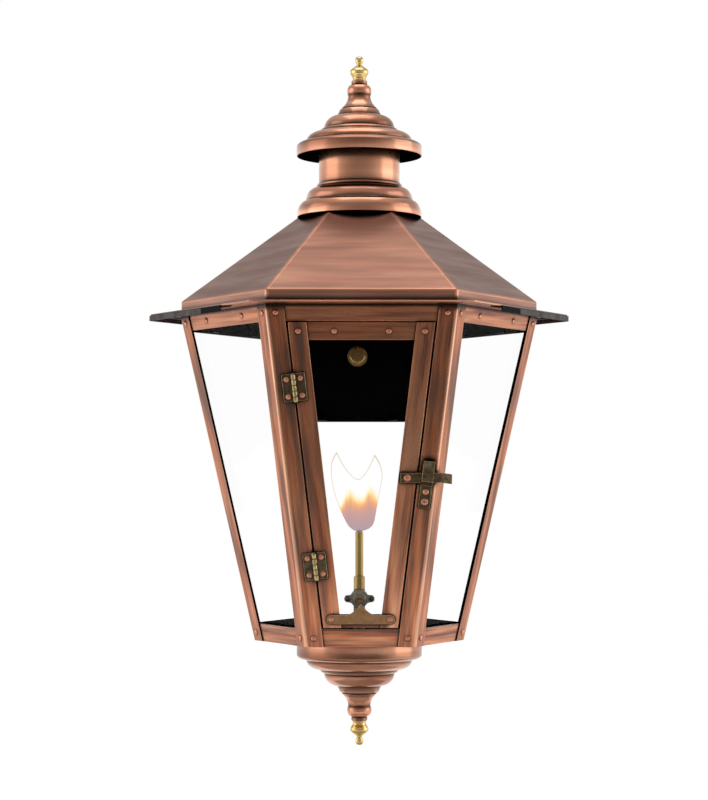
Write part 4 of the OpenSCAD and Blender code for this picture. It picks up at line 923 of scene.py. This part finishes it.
def gas_flame():
    """Colours follow heat, broken up by upright streaks, and a thin amber line follows the rim."""
    material, tree = new_finish("gas_flame")
    heat = add(tree, "Attribute", attribute_name="warmth").outputs["Fac"]
    where = add(tree, "TexCoord").outputs["Object"]
    streak = stretched_noise(tree, where, STREAK, (0.16, 0.3, 1), 2.0)
    torn = add(tree, "Math", (streak, 0.36, -0.18), operation="MULTIPLY_ADD")
    ragged = add(tree, "Math", (torn, heat, heat), operation="MULTIPLY_ADD")
    place = add(tree, "Math", (ragged, 0.5), operation="MULTIPLY")
    body = add(tree, "ValToRGB", {"Fac": place}, stops=[
        (0.0, "#b39aa3"), (0.13, "#bd9a9e"), (0.27, "#cb9d96"), (0.37, "#e5a284"),
        (0.44, "#fbb878"), (0.49, "#ffdd93"), (0.55, "#fff6d2"), (0.62, "#ffffff")])
    inside = add(tree, "Attribute", attribute_name="fold").outputs["Fac"]
    rim = add(tree, "MapRange", (inside, 0.7, 1.2, 1.0, 0.0))
    amber = add(tree, "MapRange", (place, 0.2, 0.5, 0.15, 0.62))
    line = add(tree, "Math", (rim, amber), operation="MULTIPLY")
    glow = add(tree, "Emission", (painted(tree, body, (line, "#c9a468")), 1.0))
    mixed = add(tree, "MixShader", (FLAME_SHARE, add(tree, "BsdfTransparent"), glow))
    add(tree, "OutputMaterial", {"Surface": mixed})
    return material


GLASS, STEATITE, FLAME = pane_glass(), steatite(), gas_flame()
print("glass, ceramic and flame:", GLASS.name, STEATITE.name, FLAME.name)

# %% [markdown]
# ### Handing out the finishes
#
# Each piece and each CAD node gets its finish by name, in one table, so that nothing is forgotten.

# %% Finish table
FINISHES = {
    COPPER_HOOP: ["top_hoop"],
    COPPER_LEVEL: ["floor_pan", "door_top_rail", "door_bottom_rail", "pane_clips", "door_clips"],
    COPPER_UPRIGHT: ["wall_box"],
    COPPER_STILES[0]: ["door_stile_left"],
    COPPER_STILES[1]: ["door_stile_right"],
    SOOTY_COPPER: ["door_stops"],
    GLASS: ["door_glass", "pane_back"] + [f"pane_{end}_{side}" for end in ("front", "back")
                                          for side in ("left", "right")],
    RIVET_COPPER: ["frame_rivets", "door_rivets", "keeper_fasteners", "latch_pivot"],
    DARK_BRASS: ["upper_post_leaf", "lower_post_leaf", "upper_door_leaf", "lower_door_leaf",
                 "latch_arm", "latch_keeper"],
    KNUCKLE_BRASS: ["hinge_pins"] + [p.name for p in knuckles],
    BADGE_BRASS: ["door_badge"],
    NUT_BRASS: ["turned_cap_nut"],
    DRAWN_BRASS: ["burner_coupling", "burner_tube", "valve_stem"],
    TUBE_COPPER: ["gas_tube"],
    GUNMETAL: ["valve_body", "valve_screws"],
    GUNMETAL_FACE: ["valve_cover"],
    STEATITE: ["burner_tip"],
    STEEL: ["cap_rod", "cap_bridge", "wall_bracket", "base_rod"],
    GUARD_ZINC: ["wind_guard"],
    END_RUBBER: ["guard_ends"],
    PANEL_BLACK: ["back_panel"],
    POLISHED_BRASS: [p.name for p in finials],
    COPPER_SPUN: [p.name for p in spun_pieces if p.name != "turned_chimney_tube"],
    COPPER_TUBE: ["turned_chimney_tube"],
    COPPER_SKIN: [p.name for p in posts] + ["folded_deck_plate"],
    COPPER_ROOF: ["folded_roof"],
    FLAME: ["flame"],
}
for finish, names in FINISHES.items():
    for name in names:
        mesh = bpy.data.objects[name].data
        mesh.materials.clear()
        mesh.materials.append(finish)

# %% [markdown]
# ## The studio
#
# The photograph is a catalogue picture: white all round, soft light from both sides, and a camera
# level with the lantern's panes, about two metres away. Copper is a mirror, so it needs
# something to mirror: the world is white beside and behind the lantern, and grey in front of it,
# where the photographer stands. The camera itself sees plain white.

# %% World and floor
FRONT_LIGHT = 0.42
BACK_LIGHT = 1.3
WALL_TOP_SHARE = 0.42
HIGH_SHARE = 0.6
LIFT = 0.9
DIFFUSE_SHARE = 0.55
FLOOR_DROP = 0.30
FLOOR_GLOW = 0.65
FLOOR_HALF = 30


def seen_white(tree, mirrored=0.0):
    """1 for rays from the camera or through glass, mirrored for rays off metal, 0 for the rest."""
    rays = add(tree, "LightPath").outputs
    seen = add(tree, "Math", (rays["Is Camera Ray"], rays["Is Transmission Ray"]),
               operation="MAXIMUM")
    return add(tree, "Math", (rays["Is Glossy Ray"], mirrored, seen), operation="MULTIPLY_ADD")


world = bpy.data.worlds.new("studio")
bpy.context.scene.world = world
world.use_nodes = True
sky = world.node_tree
sky.nodes.clear()
toward = add(sky, "SeparateXYZ", [add(sky, "TexCoord").outputs["Generated"]]).outputs
lifted = add(sky, "Math", (toward[2], LIFT, toward[1]), operation="MULTIPLY_ADD")
level, wall, crown = (add(sky, "MapRange", step, interpolation_type="SMOOTHSTEP") for step in (
    (lifted, -0.92, -0.1, FRONT_LIGHT, BACK_LIGHT), (toward[2], 0.05, 0.4, 1.0, WALL_TOP_SHARE),
    (toward[2], 0.6, 0.9, 0.0, HIGH_SHARE - WALL_TOP_SHARE)))
upward = add(sky, "Math", (wall, crown), operation="ADD")
is_diffuse = add(sky, "LightPath").outputs["Is Diffuse Ray"]
dimmed = add(sky, "MapRange", (is_diffuse, 0.0, 1.0, 1.0, DIFFUSE_SHARE))
light = add(sky, "Math", (level, upward), operation="MULTIPLY")
light = add(sky, "Math", (light, dimmed), operation="MULTIPLY")
strength = add(sky, "Mix", {0: seen_white(sky), 2: light, 3: 1.0}, data_type="FLOAT")
backdrop = add(sky, "Background", ("#ffffff", strength))
add(sky, "OutputWorld", {"Surface": backdrop})


def level_sheet(name, left, right, front, back, height):
    """A level rectangle of paper or card."""
    mesh = bpy.data.meshes.new(name)
    mesh.from_pydata([(left, front, height), (right, front, height), (right, back, height),
                      (left, back, height)], [], [(0, 1, 2, 3)])
    return placed(name, mesh)


low_z = cad_low.z - FLOOR_DROP
floor = level_sheet("floor", -FLOOR_HALF, FLOOR_HALF, -FLOOR_HALF, FLOOR_HALF, low_z)
paper, paper_tree = new_finish("white_paper")
glow = add(paper_tree, "Math", (seen_white(paper_tree, 0.7), FLOOR_GLOW), operation="MULTIPLY")
shade = add(paper_tree, "BsdfPrincipled", {
    "Base Color": "#f4f4f4", "Roughness": 0.9, "Emission Color": "#ffffff",
    "Emission Strength": glow})
add(paper_tree, "OutputMaterial", {"Surface": shade})
floor.data.materials.append(paper)
print("floor at", round(low_z, 3), "world:", world.name)

# %% [markdown]
# A photographer shapes metal with what it mirrors. A grey card lies on the floor in front, out of
# the picture: the door's side leans forward and down, so its copper mirrors the card and looks
# deep brown, while its feet mirror the white paper before the card. A small pale card under the
# lantern keeps the base light, which looks down at it. Two wide softboxes stand level with the
# lantern at its sides, where round copper shows them as the light bands near its outlines. A third
# hangs above the roof.

# %% Cards and lamps
CARD_LIFT = 0.004


def card(name, left, right, front, back, shade):
    """A level sheet on the floor that is only seen in mirrors."""
    sheet = level_sheet(name, left, right, front, back, low_z + CARD_LIFT)
    material, tree = new_finish(name)
    surface = add(tree, "BsdfPrincipled", {"Base Color": shade, "Roughness": 1.0,
                                           "Specular IOR Level": 0.0})
    add(tree, "OutputMaterial", {"Surface": surface})
    sheet.data.materials.append(material)
    sheet.visible_camera = sheet.visible_transmission = False
    sheet.visible_shadow = sheet.visible_diffuse = False


card("front_card", -2.2, 2.2, -4.2, -1.35, "#8a8a8a")
card("foot_card", -0.45, 0.45, -0.65, 0.05, "#e0e0e0")


def softbox(name, place, size, watts, aim):
    """A rectangular lamp that looks at a point and isn't seen itself."""
    lamp = bpy.data.lights.new(name, "AREA")
    lamp.shape, lamp.size, lamp.size_y, lamp.energy = "RECTANGLE", *size, watts
    holder = placed(name, lamp)
    holder.location = place
    holder.rotation_euler = (aim - holder.location).to_track_quat("-Z", "Y").to_euler()
    holder.visible_camera = False


centre = (cad_low + cad_high) / 2
Vector = type(centre)
softbox("left_box", centre + Vector((-1.8, -0.15, 0.35)), (1.4, 1.8), 7, centre)
softbox("right_box", centre + Vector((1.8, -0.05, 0.35)), (1.4, 1.8), 8.5, centre)
softbox("top_box", centre + Vector((0.0, -0.2, 1.8)), (1.6, 1.2), 8, centre)

# %% [markdown]
# ## The camera
#
# In the photograph the eaves are seen from below and the base from above. What is level with the
# lens is 474.6 pixels down, so the lens looks straight ahead from there, and the picture is
# shifted, not tilted. One millimetre on the lantern's axis covers one pixel.

# %% Camera
PICTURE_W, PICTURE_H = 708, 800
EYE_PX, AXIS_PX, TIP_PX = 474.6, 359.3, 745
DISTANCE = 2.164
YAW = np.radians(-0.8)
SENSOR = 36.0

camera_data = bpy.data.cameras.new("camera")
camera = placed("camera", camera_data)
eye_z = cad_low.z + (TIP_PX - EYE_PX) * MM
camera.location = (AXIS[0] + DISTANCE * np.sin(YAW), AXIS[1] - DISTANCE * np.cos(YAW), eye_z)
camera.rotation_euler = (np.pi / 2, 0, YAW)
camera_data.sensor_width = SENSOR
camera_data.lens = SENSOR * DISTANCE / (PICTURE_H * MM)
camera_data.shift_y = (EYE_PX - PICTURE_H / 2) / PICTURE_H
camera_data.shift_x = -(AXIS_PX - PICTURE_W / 2) / PICTURE_H
bpy.context.scene.camera = camera
bpy.context.scene.view_settings.view_transform = "Standard"
